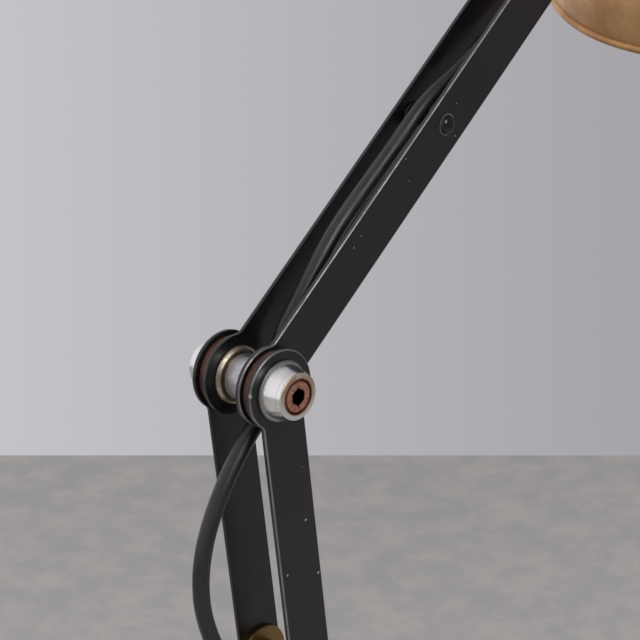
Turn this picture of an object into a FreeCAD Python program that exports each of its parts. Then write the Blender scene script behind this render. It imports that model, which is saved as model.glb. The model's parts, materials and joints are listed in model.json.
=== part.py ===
"""Folding desk lamp: two pairs of flat steel bars, one nested inside the other, on a weighted swivel base.

Millimetres, +Z up. The origin is the centre of the base's underside. Every arm joint turns about an axis
along Y, the near side of the lamp is -Y, and the upper arm leans towards +X. The flex lies in the mid plane.
"""

import FreeCAD, Part

import math
import os

Vec = FreeCAD.Vector

# Arms
ARM_LENGTH = 300.0  # between joint centres, both arms
BAR_WIDTH = 15.5
BAR_THICKNESS = 1.5
EYE_RADIUS = 11.8  # round bar ends
NECK_FILLET = 2.0  # where an eye runs into its bar
EDGE_BREAK = 0.25
TURNED_EDGE = 0.3  # rounding of a turned rim
SOFT_EDGE = 0.5  # rounding of a washer, a collar or a moulded rim
SPACER_FROM_JOINT = 95.0  # cross spacers, from either joint of an arm
LOWER_ARM_ANGLE = 97.49  # above +X, at rest
UPPER_ARM_ANGLE = 40.86

# Joint hardware, the same at the shoulder and the elbow
SPOOL_LENGTH = 12.0  # gap between the inner bars
SPOOL_RIM_RADIUS = 8.57
SPOOL_BODY_RADIUS = 6.8
SPOOL_RIM_WIDTH = 1.5
SPOOL_RIM_LAND = 0.7  # its full-size part, before it tapers
SPOOL_RIM_TAPER = 0.9
SPOOL_GROOVE_WIDTH = 0.6
SPOOL_GROOVE_DEPTH = 0.4
SPOOL_GROOVE_WALL = 0.2
WASHER_THICKNESS = 3.0
WASHER_RADIUS = 10.5
CONE_LENGTH = 6.9
CONE_BASE_RADIUS = 8.58
CONE_FACE_RADIUS = 6.75
CONE_RIM = 1.0
CONE_STEP = 0.5  # from the rim in to the cone
SCREW_RADIUS = 3.0  # M6 socket head
SCREW_HEAD_RADIUS = 5.0
SCREW_HEAD_HEIGHT = 5.0
SCREW_HEX = 5.0  # across flats
SCREW_HEX_DEPTH = 3.0
SCREW_POINT = 1.0  # the points of a joint's two screws stay this far from the mid plane
HEAD_SCREW_POINT = 0.2
RUNNING_CLEARANCE = 0.05  # on the radius, where a bar turns on a screw
SEAT_CLEARANCE = 0.02  # on the radius, in threads and press seats
CUTTER_PAST = 1.0  # a cutter runs this far past what it cuts

# Cross spacers and rivets
RIVET_RADIUS = 2.0
RIVET_HEAD_RADIUS = 2.9
RIVET_HEAD_HEIGHT = 1.6
UPPER_SPACER_RADIUS = 2.75
UPPER_SPACER_FLANGE_RADIUS = 4.5
UPPER_SPACER_FLANGE = 0.8
LOWER_SPACER_RADIUS = 4.0
LOWER_SPACER_FLANGE_RADIUS = 8.4
LOWER_SPACER_FLANGE = 1.5

# Base
BASE_RADIUS = 85.0
BASE_HEIGHT = 20.0
BASE_EDGE_RADIUS = 7.0
COVER_THICKNESS = 1.2
COVER_LIFT = 1.0  # lower lip of the cover above the table
PAD_RADIUS = 80.0
PAD_THICKNESS = 2.0
WEIGHT_CLEARANCE = 0.4
STEM_HOLE_CLEARANCE = 0.3
WEIGHT_POCKET_RADIUS = 26.0
WEIGHT_POCKET_HEIGHT = 7.0
WEIGHT_CHANNEL_WIDTH = 12.0
WEIGHT_CHANNEL_HEIGHT = 11.5

# Swivel post
COLLAR_RADIUS = 15.0
COLLAR_HEIGHT = 4.0
COLLAR_CHAMFER = 1.5
POST_RADIUS = 11.0
POST_FOOT_HEIGHT = 4.0
TENON_HEIGHT = 12.0
STEM_RADIUS = 5.0
FLEX_BORE_RADIUS = 3.4
STEM_NUT_HEX = 14.0
STEM_NUT_HEIGHT = 4.0
STEM_WASHER_RADIUS = 10.0
STEM_WASHER_THICKNESS = 0.8
STEM_TAIL = 0.6  # thread past the nut
SHOULDER_ABOVE_TENON = 34.0
EAR_RIVET_RADIUS = 1.25
EAR_RIVET_HEAD_RADIUS = 2.2
EAR_RIVET_HEAD_HEIGHT = 1.1
EAR_RIVET_SPREAD = 5.4  # either side of the flex bore
EAR_ABOVE_FOOT = 1.0
TENON_ROUNDING = 2.0

# Push switch in the base
SWITCH_DISTANCE = 54.0
SWITCH_ANGLE = -60.0  # from +X
SWITCH_BUSH_RADIUS = 6.0
SWITCH_FLANGE_RADIUS = 8.5
SWITCH_FLANGE = 1.5
SWITCH_BUTTON_RADIUS = 4.2
SWITCH_BUTTON_CLEARANCE = 0.08
SWITCH_TRAVEL = 2.0
SWITCH_BUTTON_PROUD = 3.5
SWITCH_BUSH_DEPTH = 8.0
SWITCH_BOX_SIDE = 15.0
SWITCH_BOX_HEIGHT = 7.0
SWITCH_POCKET_RADIUS = 12.0
SWITCH_BUTTON_ROUNDING = 1.2
SWITCH_FLANGE_ROUNDING = 0.8
SWITCH_END_GAP = 0.1  # left under the button when it is pressed home

# Head: heights are measured from the tilt joint, down the head's own axis
HEAD_TILT = 20.0  # from straight down towards +X, at rest
LUG_THICKNESS = 8.0
LUG_RADIUS = 9.5
LUG_STEM_RADIUS = 4.0
LUG_COLLAR_RADIUS = 5.2
LUG_COLLAR = 3.0
LUG_STEM_GAP = 0.2  # from the stem's end to the bulb's side of the lampholder's floor
CAP_TOP = 14.0
CAP_NECK_RADIUS = 7.2
CAP_NECK = 2.0
CAP_RADIUS = 17.0
CAP_SHOULDER = 27.0
CAP_WALL = 1.0
CAP_FILLET = 6.0
CAP_NECK_FILLET = 1.5
CAP_FLANK_WALL = 1.6  # the flank's thickness along the head's axis
CAP_FLANK_RISE = 0.4
CAP_NUT_HEX = 12.0
CAP_NUT_HEIGHT = 4.0
HOLDER_TOP = 25.0
HOLDER_FLOOR = 2.2
HOLDER_ROUNDING = 4.0
HOLDER_RADIUS = 13.5
HOLDER_BELOW_SHADE = 6.0
HOLDER_BORE_RADIUS = 7.0
HOLDER_MOUTH_RADIUS = 11.0
HOLDER_MOUTH = 5.0
SHADE_TOP = 44.0
SHADE_PLATE_RADIUS = 22.0
SHADE_BEND_RADIUS = 66.0  # the dome's meridian is nearly a quarter circle
SHADE_DEPTH = 62.0
SHADE_WALL = 0.8
SHADE_BEAD_RADIUS = 1.4
SHADE_RING_RADIUS = 18.5
SHADE_RING = 4.0
BULB_RADIUS = 22.5
BULB_NECK_RADIUS = 10.0
BULB_WALL = 0.9
BULB_INSIDE_RIM = 1.0  # the bulb's tip stays this far above the rim plane
BULB_CAP_RADIUS = 6.8
BULB_CAP_HEIGHT = 17.0
BULB_CONTACT_RADIUS = 2.6
BULB_CONTACT = 1.5
BULB_SEAT_GAP = 0.3  # glass neck to the lampholder's ledge
BULB_SKIRT = 0.2  # flare of the screw cap where it meets the glass
GROMMET_RADIUS = 4.8
GROMMET_WALL_RADIUS = 3.6
GROMMET_LIP = 1.5
GROMMET_SEAT = 0.1
GROMMET_DOWN_FLANK = 0.5  # share of the cap's flank, from its neck

# Flex and mains lead
FLEX_RADIUS = 2.5
FLEX_AREA = math.pi * FLEX_RADIUS**2
GLAND_HEIGHT = 7.5
GLAND_WALL_RADIUS = 4.4
GLAND_FLANGE_RADIUS = 5.8
GLAND_FLANGE = 3.0
GLAND_INSIDE = 6.0
RELIEF_LENGTH = 30.0
RELIEF_ROOT_RADIUS = 4.4
RELIEF_TIP_RADIUS = 3.3
GLAND_INSIDE_RADIUS = 5.5
GLAND_SEAT = 0.3
COIL_CENTRE = (37.0, 161.0)
COIL_OUTER_RADIUS = 34.8  # to the middle of the lead
COIL_PITCH = 6.4  # from turn to turn in a layer
COIL_STEP = 5.7  # from layer to layer
COIL_LAYERS = 4
COIL_TURNS_PER_LAYER = 2
COIL_CLIMB = 0.5  # turns, from layer to layer
LEAD_ON_TABLE = 2.6  # height of the lead's middle where it lies on the table
LEAD_RUN_ENDS = 11.5  # straight runs out of the strain relief and into the coil
LEAD_OFF_COIL = 14.0
LEAD_TAIL = [(75.5, 125.5, 15.4), (81.5, 111.0, 8.8), (93.0, 100.5, 4.2), (108.0, 95.0, 2.8),
             (123.5, 93.5, 5.2), (137.5, 94.0, 8.5)]
PLUG_LENGTH = 34.0
PLUG_RADIUS = 13.0
PLUG_NECK_RADIUS = 5.0
PLUG_NECK_LENGTH = 10.0
PLUG_NECK_FLARE = 1.0
PLUG_WAIST = 20.0  # from the lead's end
PLUG_WAIST_ROUNDING = 4.0
PLUG_FACE_FLARE = 2.0
PLUG_FACE_ROUNDING = 1.5
PLUG_PIN_RADIUS = 2.0
PLUG_PIN_LENGTH = 19.0
PLUG_PIN_SPACING = 19.0
PLUG_PIN_ROUNDING = 1.4
PLUG_FLAT = 16.0  # the plug's thickness
PLUG_HEIGHT = 8.5  # its middle above the table
PLUG_ENTRY = (151.0, 94.0)  # where the lead enters the plug
PLUG_HEADING = 0.0  # from +X, towards the pins

# Heights and faces that follow
INNER_FACE = SPOOL_LENGTH / 2
INNER_BACK = INNER_FACE + BAR_THICKNESS
OUTER_FACE = INNER_BACK + WASHER_THICKNESS
OUTER_BACK = OUTER_FACE + BAR_THICKNESS
COLLAR_TOP = BASE_HEIGHT + COLLAR_HEIGHT
TENON_BOTTOM = COLLAR_TOP + POST_FOOT_HEIGHT
TENON_TOP = TENON_BOTTOM + TENON_HEIGHT
SHADE_RIM = SHADE_TOP + SHADE_DEPTH
HOLDER_BOTTOM = SHADE_TOP + SHADE_WALL + HOLDER_BELOW_SHADE
HOLDER_LEDGE = HOLDER_BOTTOM - HOLDER_MOUTH
BULB_CENTRE = SHADE_RIM - BULB_INSIDE_RIM - BULB_RADIUS


def heading(angle):
    """The unit vector in the XZ plane at this angle above +X."""
    return Vec(math.cos(math.radians(angle)), 0, math.sin(math.radians(angle)))


SHOULDER = Vec(0, 0, TENON_TOP + SHOULDER_ABOVE_TENON)
ELBOW = SHOULDER + heading(LOWER_ARM_ANGLE) * ARM_LENGTH
HEAD_PIVOT = ELBOW + heading(UPPER_ARM_ANGLE) * ARM_LENGTH

nodes = {}


# ---------------------------------------------------------------- drawing helpers


def corner_arc(before, corner, after):
    """The arc tangent to both legs of a corner, which are as long as each other."""
    chord_middle = (before + after) * 0.5
    cosine = before.distanceToPoint(chord_middle) / before.distanceToPoint(corner)
    middle = corner + (chord_middle - corner) * (1 / (1 + cosine))
    return Part.Arc(before, middle, after).toShape()


def rounded(points, radii, closed):
    """Straight runs through points, joined by tangent arcs. A radius of 0 leaves a corner."""
    count = len(points)
    starts, ends, arcs = {}, {}, {}
    for i in range(count):
        if radii[i] and (closed or 0 < i < count - 1):
            here, last, after = points[i], points[i - 1], points[(i + 1) % count]
            back, on = (last - here).normalize(), (after - here).normalize()
            turn = math.pi - back.getAngle(on)
            leg = radii[i] * math.tan(turn / 2)
            starts[i], ends[i] = here + back * leg, here + on * leg
            arcs[i] = corner_arc(starts[i], here, ends[i])
    edges = []
    for i in range(count if closed else count - 1):
        j = (i + 1) % count
        a, b = ends.get(i, points[i]), starts.get(j, points[j])
        if i in arcs and (closed or i):
            edges.append(arcs[i])
        if a.distanceToPoint(b) > 1e-6:
            edges.append(Part.LineSegment(a, b).toShape())
    return Part.Wire(Part.__sortEdges__(edges))


def turned(profile, at=Vec(0, 0, 0), axis=Vec(0, 1, 0)):
    """A turned piece. The profile is (radius, place along the axis[, rounding]), closed."""
    points = [Vec(p[0], p[1], 0) for p in profile]
    radii = [p[2] if len(p) > 2 else 0 for p in profile]
    face = Part.Face(rounded(points, radii, True))
    solid = face.revolve(Vec(0, 0, 0), Vec(0, 1, 0), 360)
    solid.Placement = FreeCAD.Placement(at, FreeCAD.Rotation(Vec(0, 1, 0), axis))
    return solid


def rod(radius, start, end, at=Vec(0, 0, 0), axis=Vec(0, 1, 0)):
    """A round rod from start to end along the axis through at."""
    return Part.makeCylinder(radius, end - start, at + axis * start, axis)


def hexagon(flats, start, end, at=Vec(0, 0, 0), axis=Vec(0, 1, 0)):
    """A hexagonal bar, by its size across flats."""
    corner = flats / math.sqrt(3)
    points = [
        Vec(corner * math.cos(math.radians(60 * k)), start, corner * math.sin(math.radians(60 * k)))
        for k in range(7)
    ]
    solid = Part.Face(Part.makePolygon(points)).extrude(Vec(0, end - start, 0))
    solid.Placement = FreeCAD.Placement(at, FreeCAD.Rotation(Vec(0, 1, 0), axis))
    return solid


def mirrored(solid):
    """The same piece on the other side of the mid plane."""
    return solid.mirror(Vec(0, 0, 0), Vec(0, 1, 0))


def leaned(solid, at, angle):
    """A piece drawn along +X from the origin, moved to a joint and turned up to its arm's angle."""
    moved = solid.copy()
    moved.rotate(Vec(0, 0, 0), Vec(0, -1, 0), angle)
    moved.translate(at)
    return moved


def both_ends(half):
    """A turned profile and its mirror image past the mid plane."""
    return half + [(p[0], -p[1], *p[2:]) for p in reversed(half)]


def group(*solids):
    return Part.makeCompound(list(solids))


def cord_tube(name, points):
    """A round lead along straight runs and the largest tangent arcs that the runs allow."""
    runs = [a.distanceToPoint(b) for a, b in zip(points, points[1:])]
    radii = [0.0] * len(points)
    for i in range(1, len(points) - 1):
        turn = (points[i] - points[i - 1]).getAngle(points[i + 1] - points[i])
        radii[i] = 0.45 * min(runs[i - 1], runs[i]) / math.tan(turn / 2)
    path = rounded(points, radii, False)
    tube = swept(path, points[0], points[1] - points[0])
    print(f"{name}: {path.Length:.1f} mm, radii {[round(r, 1) for r in radii[1:-1]]},"
          f" volume {tube.Volume / (FLEX_AREA * path.Length):.4f} of section times length")
    return tube


def swept(path, start, direction):
    circle = Part.Wire(Part.makeCircle(FLEX_RADIUS, start, direction))
    return path.makePipeShell([circle], True, False)


# ---------------------------------------------------------------- joint hardware


def spool(at):
    """The distance piece between the inner bars: a rim at each end, then a groove and a barrel."""
    rim, body = SPOOL_RIM_RADIUS, SPOOL_BODY_RADIUS
    groove = body - SPOOL_GROOVE_DEPTH
    shoulder = INNER_FACE - SPOOL_RIM_WIDTH
    groove_end = shoulder - SPOOL_GROOVE_WIDTH
    half = [(SCREW_RADIUS + SEAT_CLEARANCE, INNER_FACE), (rim, INNER_FACE, TURNED_EDGE),
            (rim, INNER_FACE - SPOOL_RIM_LAND, TURNED_EDGE), (rim - SPOOL_RIM_TAPER, shoulder),
            (groove, shoulder), (groove, groove_end), (body, groove_end - SPOOL_GROOVE_WALL)]
    return turned(both_ends(half), at)


def washer(start, thickness, at, radius=WASHER_RADIUS):
    """A fibre friction washer with a slightly rounded edge."""
    bore, end = SCREW_RADIUS + RUNNING_CLEARANCE, start + thickness
    return turned([(bore, start), (radius, start, SOFT_EDGE), (radius, end, SOFT_EDGE), (bore, end)], at)


def cone(start, at):
    """The turned end cap: a short rim, a cone and a counterbore that takes the screw head flush."""
    face = start + CONE_LENGTH
    floor = face - SCREW_HEAD_HEIGHT
    shank, seat = SCREW_RADIUS + SEAT_CLEARANCE, SCREW_HEAD_RADIUS + SEAT_CLEARANCE
    rim, rim_end = CONE_BASE_RADIUS, start + CONE_RIM
    return turned([(shank, start), (rim, start, TURNED_EDGE), (rim, rim_end, TURNED_EDGE),
                   (rim - CONE_STEP, rim_end), (CONE_FACE_RADIUS, face, SOFT_EDGE), (seat, face),
                   (seat, floor), (shank, floor)], at)


def screw(start, end, at):
    """A socket-head screw whose head's top is at end and whose shank reaches in to start."""
    under = end - SCREW_HEAD_HEIGHT
    shape = turned([(0, start), (SCREW_RADIUS, start), (SCREW_RADIUS, under), (SCREW_HEAD_RADIUS, under),
                    (SCREW_HEAD_RADIUS, end, SOFT_EDGE), (0, end)], at)
    return shape.cut(hexagon(SCREW_HEX, end - SCREW_HEX_DEPTH, end + CUTTER_PAST, at))


def outer_joint(name, at):
    """The whole stack at a joint whose outer bars carry the screws: spool, washers, cones and screws."""
    nodes[name + "_spool"] = spool(at)
    near_washer = washer(INNER_BACK, WASHER_THICKNESS, at)
    nodes[name + "_washer_far"] = near_washer
    nodes[name + "_washer_near"] = mirrored(near_washer)
    far_cone = cone(OUTER_BACK, at)
    nodes[name + "_cone_far"] = far_cone
    nodes[name + "_cone_near"] = mirrored(far_cone)
    far_screw = screw(SCREW_POINT, OUTER_BACK + CONE_LENGTH, at)
    nodes[name + "_screws"] = group(far_screw, mirrored(far_screw))


# ---------------------------------------------------------------- arms


def strap(length, rivets, far_eye):
    """A flat bar along +X from y = 0, with a round eye at the origin and perhaps one at its end."""
    plate = Part.makeBox(length, BAR_THICKNESS, BAR_WIDTH, Vec(0, 0, -BAR_WIDTH / 2))
    eyes = [0.0, length] if far_eye else [0.0]
    for x in eyes:
        plate = plate.fuse(rod(EYE_RADIUS, 0, BAR_THICKNESS, Vec(x, 0, 0)))
    plate = plate.removeSplitter()
    reach = math.sqrt(EYE_RADIUS**2 - (BAR_WIDTH / 2) ** 2)
    necks = [x + (reach if x == 0 else -reach) for x in eyes]
    corners = [
        e for e in plate.Edges
        if e.BoundBox.YLength > BAR_THICKNESS / 2
        and any(abs(e.CenterOfMass.x - n) < 0.1 for n in necks)
    ]
    plate = plate.makeFillet(NECK_FILLET, corners)
    rims = [e for e in plate.Edges if e.BoundBox.YLength < 1e-6]
    plate = plate.makeChamfer(EDGE_BREAK, rims)
    holes = [(x, 0, SCREW_RADIUS + RUNNING_CLEARANCE) for x in eyes]
    holes += [(x, z, radius + SEAT_CLEARANCE) for x, z, radius in rivets]
    for x, z, radius in holes:
        plate = plate.cut(rod(radius, -CUTTER_PAST, BAR_THICKNESS + CUTTER_PAST, Vec(x, 0, z)))
    return plate


def bar_pair(name, at, angle, face, rivets, length=ARM_LENGTH, far_eye=True):
    """The far bar with its inner side at face, and its mirror image on the near side."""
    flat = strap(length, rivets, far_eye)
    flat.translate(Vec(0, face, 0))
    far = leaned(flat, at, angle)
    nodes[name + "_far"] = far
    nodes[name + "_near"] = mirrored(far)


def rivet(half_span, radius, head_radius, head_height):
    """A through rivet along Y with a domed head on each bar."""
    dome = (head_radius**2 + head_height**2) / (2 * head_height)
    top = half_span + head_height
    ball = Part.makeSphere(dome, Vec(0, top - dome, 0))
    head = ball.common(rod(head_radius + 1, half_span, top + 1))
    return head.fuse([rod(radius, -half_span, half_span), mirrored(head)]).removeSplitter()


def spacer(half_span, radius, flange_radius, flange):
    """A tube between two bars with a flange against each."""
    bore = RIVET_RADIUS + SEAT_CLEARANCE
    inside = half_span - flange
    half = [(bore, half_span), (flange_radius, half_span, TURNED_EDGE), (flange_radius, inside, TURNED_EDGE),
            (radius, inside)]
    return turned(both_ends(half))


def arm(name, at, angle, face, spacer_sizes):
    """A pair of bars, its two cross spacers and the rivets through them."""
    places = [SPACER_FROM_JOINT, ARM_LENGTH - SPACER_FROM_JOINT]
    bar_pair(name + "_bar", at, angle, face, [(x, 0, RIVET_RADIUS) for x in places])
    rivets = []
    for count, x in enumerate(places, 1):
        tube = spacer(face, *spacer_sizes)
        tube.translate(Vec(x, 0, 0))
        nodes[f"{name}_spacer_{count}"] = leaned(tube, at, angle)
        pin = rivet(face + BAR_THICKNESS, RIVET_RADIUS, RIVET_HEAD_RADIUS, RIVET_HEAD_HEIGHT)
        pin.translate(Vec(x, 0, 0))
        rivets.append(leaned(pin, at, angle))
    nodes[name + "_rivets"] = group(*rivets)


arm("lower_arm", SHOULDER, LOWER_ARM_ANGLE, OUTER_FACE,
    (LOWER_SPACER_RADIUS, LOWER_SPACER_FLANGE_RADIUS, LOWER_SPACER_FLANGE))
arm("upper_arm", ELBOW, UPPER_ARM_ANGLE, INNER_FACE,
    (UPPER_SPACER_RADIUS, UPPER_SPACER_FLANGE_RADIUS, UPPER_SPACER_FLANGE))
outer_joint("elbow", ELBOW)
outer_joint("shoulder", SHOULDER)


# ---------------------------------------------------------------- base

UP = Vec(0, 0, 1)
SWITCH_AT = Vec(SWITCH_DISTANCE * math.cos(math.radians(SWITCH_ANGLE)),
                SWITCH_DISTANCE * math.sin(math.radians(SWITCH_ANGLE)), 0)
GLAND_AT = Vec(0, 0, GLAND_HEIGHT)


def disc_profile(radius, bottom, top, edge):
    return [(0, bottom), (radius, bottom), (radius, top, edge), (0, top)]


def base():
    inside = BASE_RADIUS - COVER_THICKNESS
    shell = turned(disc_profile(BASE_RADIUS, COVER_LIFT, BASE_HEIGHT, BASE_EDGE_RADIUS), axis=UP)
    hollow = turned(disc_profile(inside, COVER_LIFT - CUTTER_PAST, BASE_HEIGHT - COVER_THICKNESS,
                                 BASE_EDGE_RADIUS - COVER_THICKNESS), axis=UP)
    over = BASE_HEIGHT + CUTTER_PAST
    cover = shell.cut(hollow)
    cover = cover.cut(rod(STEM_RADIUS + STEM_HOLE_CLEARANCE, 0, over, axis=UP))
    cover = cover.cut(rod(SWITCH_BUSH_RADIUS + SEAT_CLEARANCE, 0, over, SWITCH_AT, UP))
    nodes["base_cover"] = cover.cut(rod(GLAND_WALL_RADIUS + SEAT_CLEARANCE, inside - BASE_EDGE_RADIUS,
                                        BASE_RADIUS + CUTTER_PAST, GLAND_AT))

    top = BASE_HEIGHT - COVER_THICKNESS
    weight = turned(disc_profile(inside - WEIGHT_CLEARANCE, PAD_THICKNESS, top,
                                 BASE_EDGE_RADIUS - COVER_THICKNESS), axis=UP)
    weight = weight.cut(rod(STEM_RADIUS + RUNNING_CLEARANCE, 0, BASE_HEIGHT, axis=UP))
    weight = weight.cut(rod(WEIGHT_POCKET_RADIUS, 0, PAD_THICKNESS + WEIGHT_POCKET_HEIGHT, axis=UP))
    weight = weight.cut(rod(SWITCH_POCKET_RADIUS, 0, BASE_HEIGHT, SWITCH_AT, UP))
    channel = Part.makeBox(WEIGHT_CHANNEL_WIDTH, BASE_RADIUS, WEIGHT_CHANNEL_HEIGHT,
                           Vec(-WEIGHT_CHANNEL_WIDTH / 2, 0, PAD_THICKNESS))
    nodes["base_weight"] = weight.cut(channel)
    nodes["base_pad"] = turned(disc_profile(PAD_RADIUS, 0, PAD_THICKNESS, 0), axis=UP)

    bore = STEM_RADIUS + RUNNING_CLEARANCE
    collar = [(bore, BASE_HEIGHT), (COLLAR_RADIUS, BASE_HEIGHT),
              (COLLAR_RADIUS, COLLAR_TOP - COLLAR_CHAMFER, SOFT_EDGE),
              (COLLAR_RADIUS - COLLAR_CHAMFER, COLLAR_TOP, SOFT_EDGE), (bore, COLLAR_TOP)]
    nodes["swivel_collar"] = turned(collar, axis=UP)


def push_switch():
    top = BASE_HEIGHT + SWITCH_FLANGE
    bottom = BASE_HEIGHT - SWITCH_BUSH_DEPTH
    bore = SWITCH_BUTTON_RADIUS + SWITCH_BUTTON_CLEARANCE
    bush = [(bore, bottom), (SWITCH_BUSH_RADIUS, bottom), (SWITCH_BUSH_RADIUS, BASE_HEIGHT),
            (SWITCH_FLANGE_RADIUS, BASE_HEIGHT), (SWITCH_FLANGE_RADIUS, top, SWITCH_FLANGE_ROUNDING),
            (bore, top)]
    nodes["switch_bush"] = turned(bush, SWITCH_AT, UP)
    button_bottom = bottom + SWITCH_TRAVEL + SWITCH_END_GAP
    button_top = top + SWITCH_BUTTON_PROUD
    button = [(0, button_bottom), (SWITCH_BUTTON_RADIUS, button_bottom),
              (SWITCH_BUTTON_RADIUS, button_top, SWITCH_BUTTON_ROUNDING), (0, button_top)]
    nodes["switch_button"] = turned(button, SWITCH_AT, UP)
    half = SWITCH_BOX_SIDE / 2
    nodes["switch_body"] = Part.makeBox(SWITCH_BOX_SIDE, SWITCH_BOX_SIDE, SWITCH_BOX_HEIGHT,
                                        SWITCH_AT + Vec(-half, -half, bottom - SWITCH_BOX_HEIGHT))


def swivel():
    """The post turns on its hollow stem, held by a nut under the weight. Its two ears carry the arm."""
    pocket_roof = PAD_THICKNESS + WEIGHT_POCKET_HEIGHT
    nut_top = pocket_roof - STEM_WASHER_THICKNESS
    nut_bottom = nut_top - STEM_NUT_HEIGHT
    stem_end = nut_bottom - STEM_TAIL
    foot = turned([(0, stem_end), (STEM_RADIUS, stem_end), (STEM_RADIUS, COLLAR_TOP),
                   (POST_RADIUS, COLLAR_TOP, SOFT_EDGE), (POST_RADIUS, TENON_BOTTOM, SOFT_EDGE),
                   (0, TENON_BOTTOM)], axis=UP)
    root = POST_FOOT_HEIGHT / 2  # the tenon is one with the foot
    tenon = Part.makeBox(BAR_WIDTH, SPOOL_LENGTH, TENON_HEIGHT + root,
                         Vec(-BAR_WIDTH / 2, -INNER_FACE, TENON_BOTTOM - root))
    tops = [e for e in tenon.Edges if e.BoundBox.ZLength < 1e-6 and e.BoundBox.XLength < 1e-6
            and e.CenterOfMass.z > TENON_BOTTOM]
    post = foot.fuse(tenon.makeFillet(TENON_ROUNDING, tops)).removeSplitter()
    post = post.cut(rod(FLEX_BORE_RADIUS, 0, TENON_TOP + CUTTER_PAST, axis=UP))
    rivet_height = TENON_BOTTOM + TENON_HEIGHT / 2
    for side in (-1, 1):
        hole = Vec(side * EAR_RIVET_SPREAD, 0, rivet_height)
        post = post.cut(rod(EAR_RIVET_RADIUS + SEAT_CLEARANCE, -SPOOL_LENGTH, SPOOL_LENGTH, hole))
    nodes["swivel_post"] = post

    ear_length = SHOULDER.z - TENON_BOTTOM - EAR_ABOVE_FOOT
    rivet_x = SHOULDER.z - rivet_height
    bar_pair("swivel_ear", SHOULDER, -90.0, INNER_FACE,
             [(rivet_x, side * EAR_RIVET_SPREAD, EAR_RIVET_RADIUS) for side in (-1, 1)], ear_length, False)
    pins = []
    for side in (-1, 1):
        pin = rivet(INNER_BACK, EAR_RIVET_RADIUS, EAR_RIVET_HEAD_RADIUS, EAR_RIVET_HEAD_HEIGHT)
        pin.translate(Vec(side * EAR_RIVET_SPREAD, 0, rivet_height))
        pins.append(pin)
    nodes["swivel_ear_rivets"] = group(*pins)
    thread = STEM_RADIUS + SEAT_CLEARANCE
    disc = [(thread, nut_top), (STEM_WASHER_RADIUS, nut_top), (STEM_WASHER_RADIUS, pocket_roof),
            (thread, pocket_roof)]
    nodes["swivel_spring_washer"] = turned(disc, axis=UP)
    nut = hexagon(STEM_NUT_HEX, nut_bottom, nut_top, axis=UP)
    nodes["swivel_nut"] = nut.cut(rod(thread, nut_bottom - CUTTER_PAST, nut_top + CUTTER_PAST, axis=UP))


base()
push_switch()
swivel()


# ---------------------------------------------------------------- head

DOWN_HEAD = Vec(math.sin(math.radians(HEAD_TILT)), 0, -math.cos(math.radians(HEAD_TILT)))
TO_ARM = Vec(-math.cos(math.radians(HEAD_TILT)), 0, -math.sin(math.radians(HEAD_TILT)))


def head_turned(profile):
    return turned(profile, HEAD_PIVOT, DOWN_HEAD)


def tilt_joint():
    """A lug between two thin washers inside the upper bars, a cone and a screw on each side."""
    half = LUG_THICKNESS / 2
    stem_end = HOLDER_TOP + HOLDER_FLOOR - LUG_STEM_GAP
    disc = [(0, -half), (LUG_RADIUS, -half, SOFT_EDGE), (LUG_RADIUS, half, SOFT_EDGE), (0, half)]
    eye = turned(disc, HEAD_PIVOT)
    collar_top = CAP_TOP - LUG_COLLAR
    stem = head_turned([(0, 0), (LUG_STEM_RADIUS, 0), (LUG_STEM_RADIUS, collar_top),
                        (LUG_COLLAR_RADIUS, collar_top, SOFT_EDGE), (LUG_COLLAR_RADIUS, CAP_TOP),
                        (LUG_STEM_RADIUS, CAP_TOP), (LUG_STEM_RADIUS, stem_end), (0, stem_end)])
    lug = eye.fuse(stem).removeSplitter()
    past = half + CUTTER_PAST
    nodes["head_lug"] = lug.cut(rod(SCREW_RADIUS + SEAT_CLEARANCE, -past, past, HEAD_PIVOT))
    far_washer = washer(half, INNER_FACE - half, HEAD_PIVOT, LUG_RADIUS)
    nodes["head_washers"] = group(far_washer, mirrored(far_washer))
    far_cone = cone(INNER_BACK, HEAD_PIVOT)
    nodes["head_cone_far"] = far_cone
    nodes["head_cone_near"] = mirrored(far_cone)
    far_screw = screw(HEAD_SCREW_POINT, INNER_BACK + CONE_LENGTH, HEAD_PIVOT)
    nodes["head_screws"] = group(far_screw, mirrored(far_screw))


def flank_point(share):
    """A point on the cap's outer flank on the arm's side, and the flank's outward normal."""
    top, bottom = (CAP_NECK_RADIUS, CAP_TOP + CAP_NECK), (CAP_RADIUS, CAP_SHOULDER)
    radius = top[0] + (bottom[0] - top[0]) * share
    down = top[1] + (bottom[1] - top[1]) * share
    normal = (TO_ARM * (bottom[1] - top[1]) - DOWN_HEAD * (bottom[0] - top[0])).normalize()
    return HEAD_PIVOT + DOWN_HEAD * down + TO_ARM * radius, normal


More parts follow.
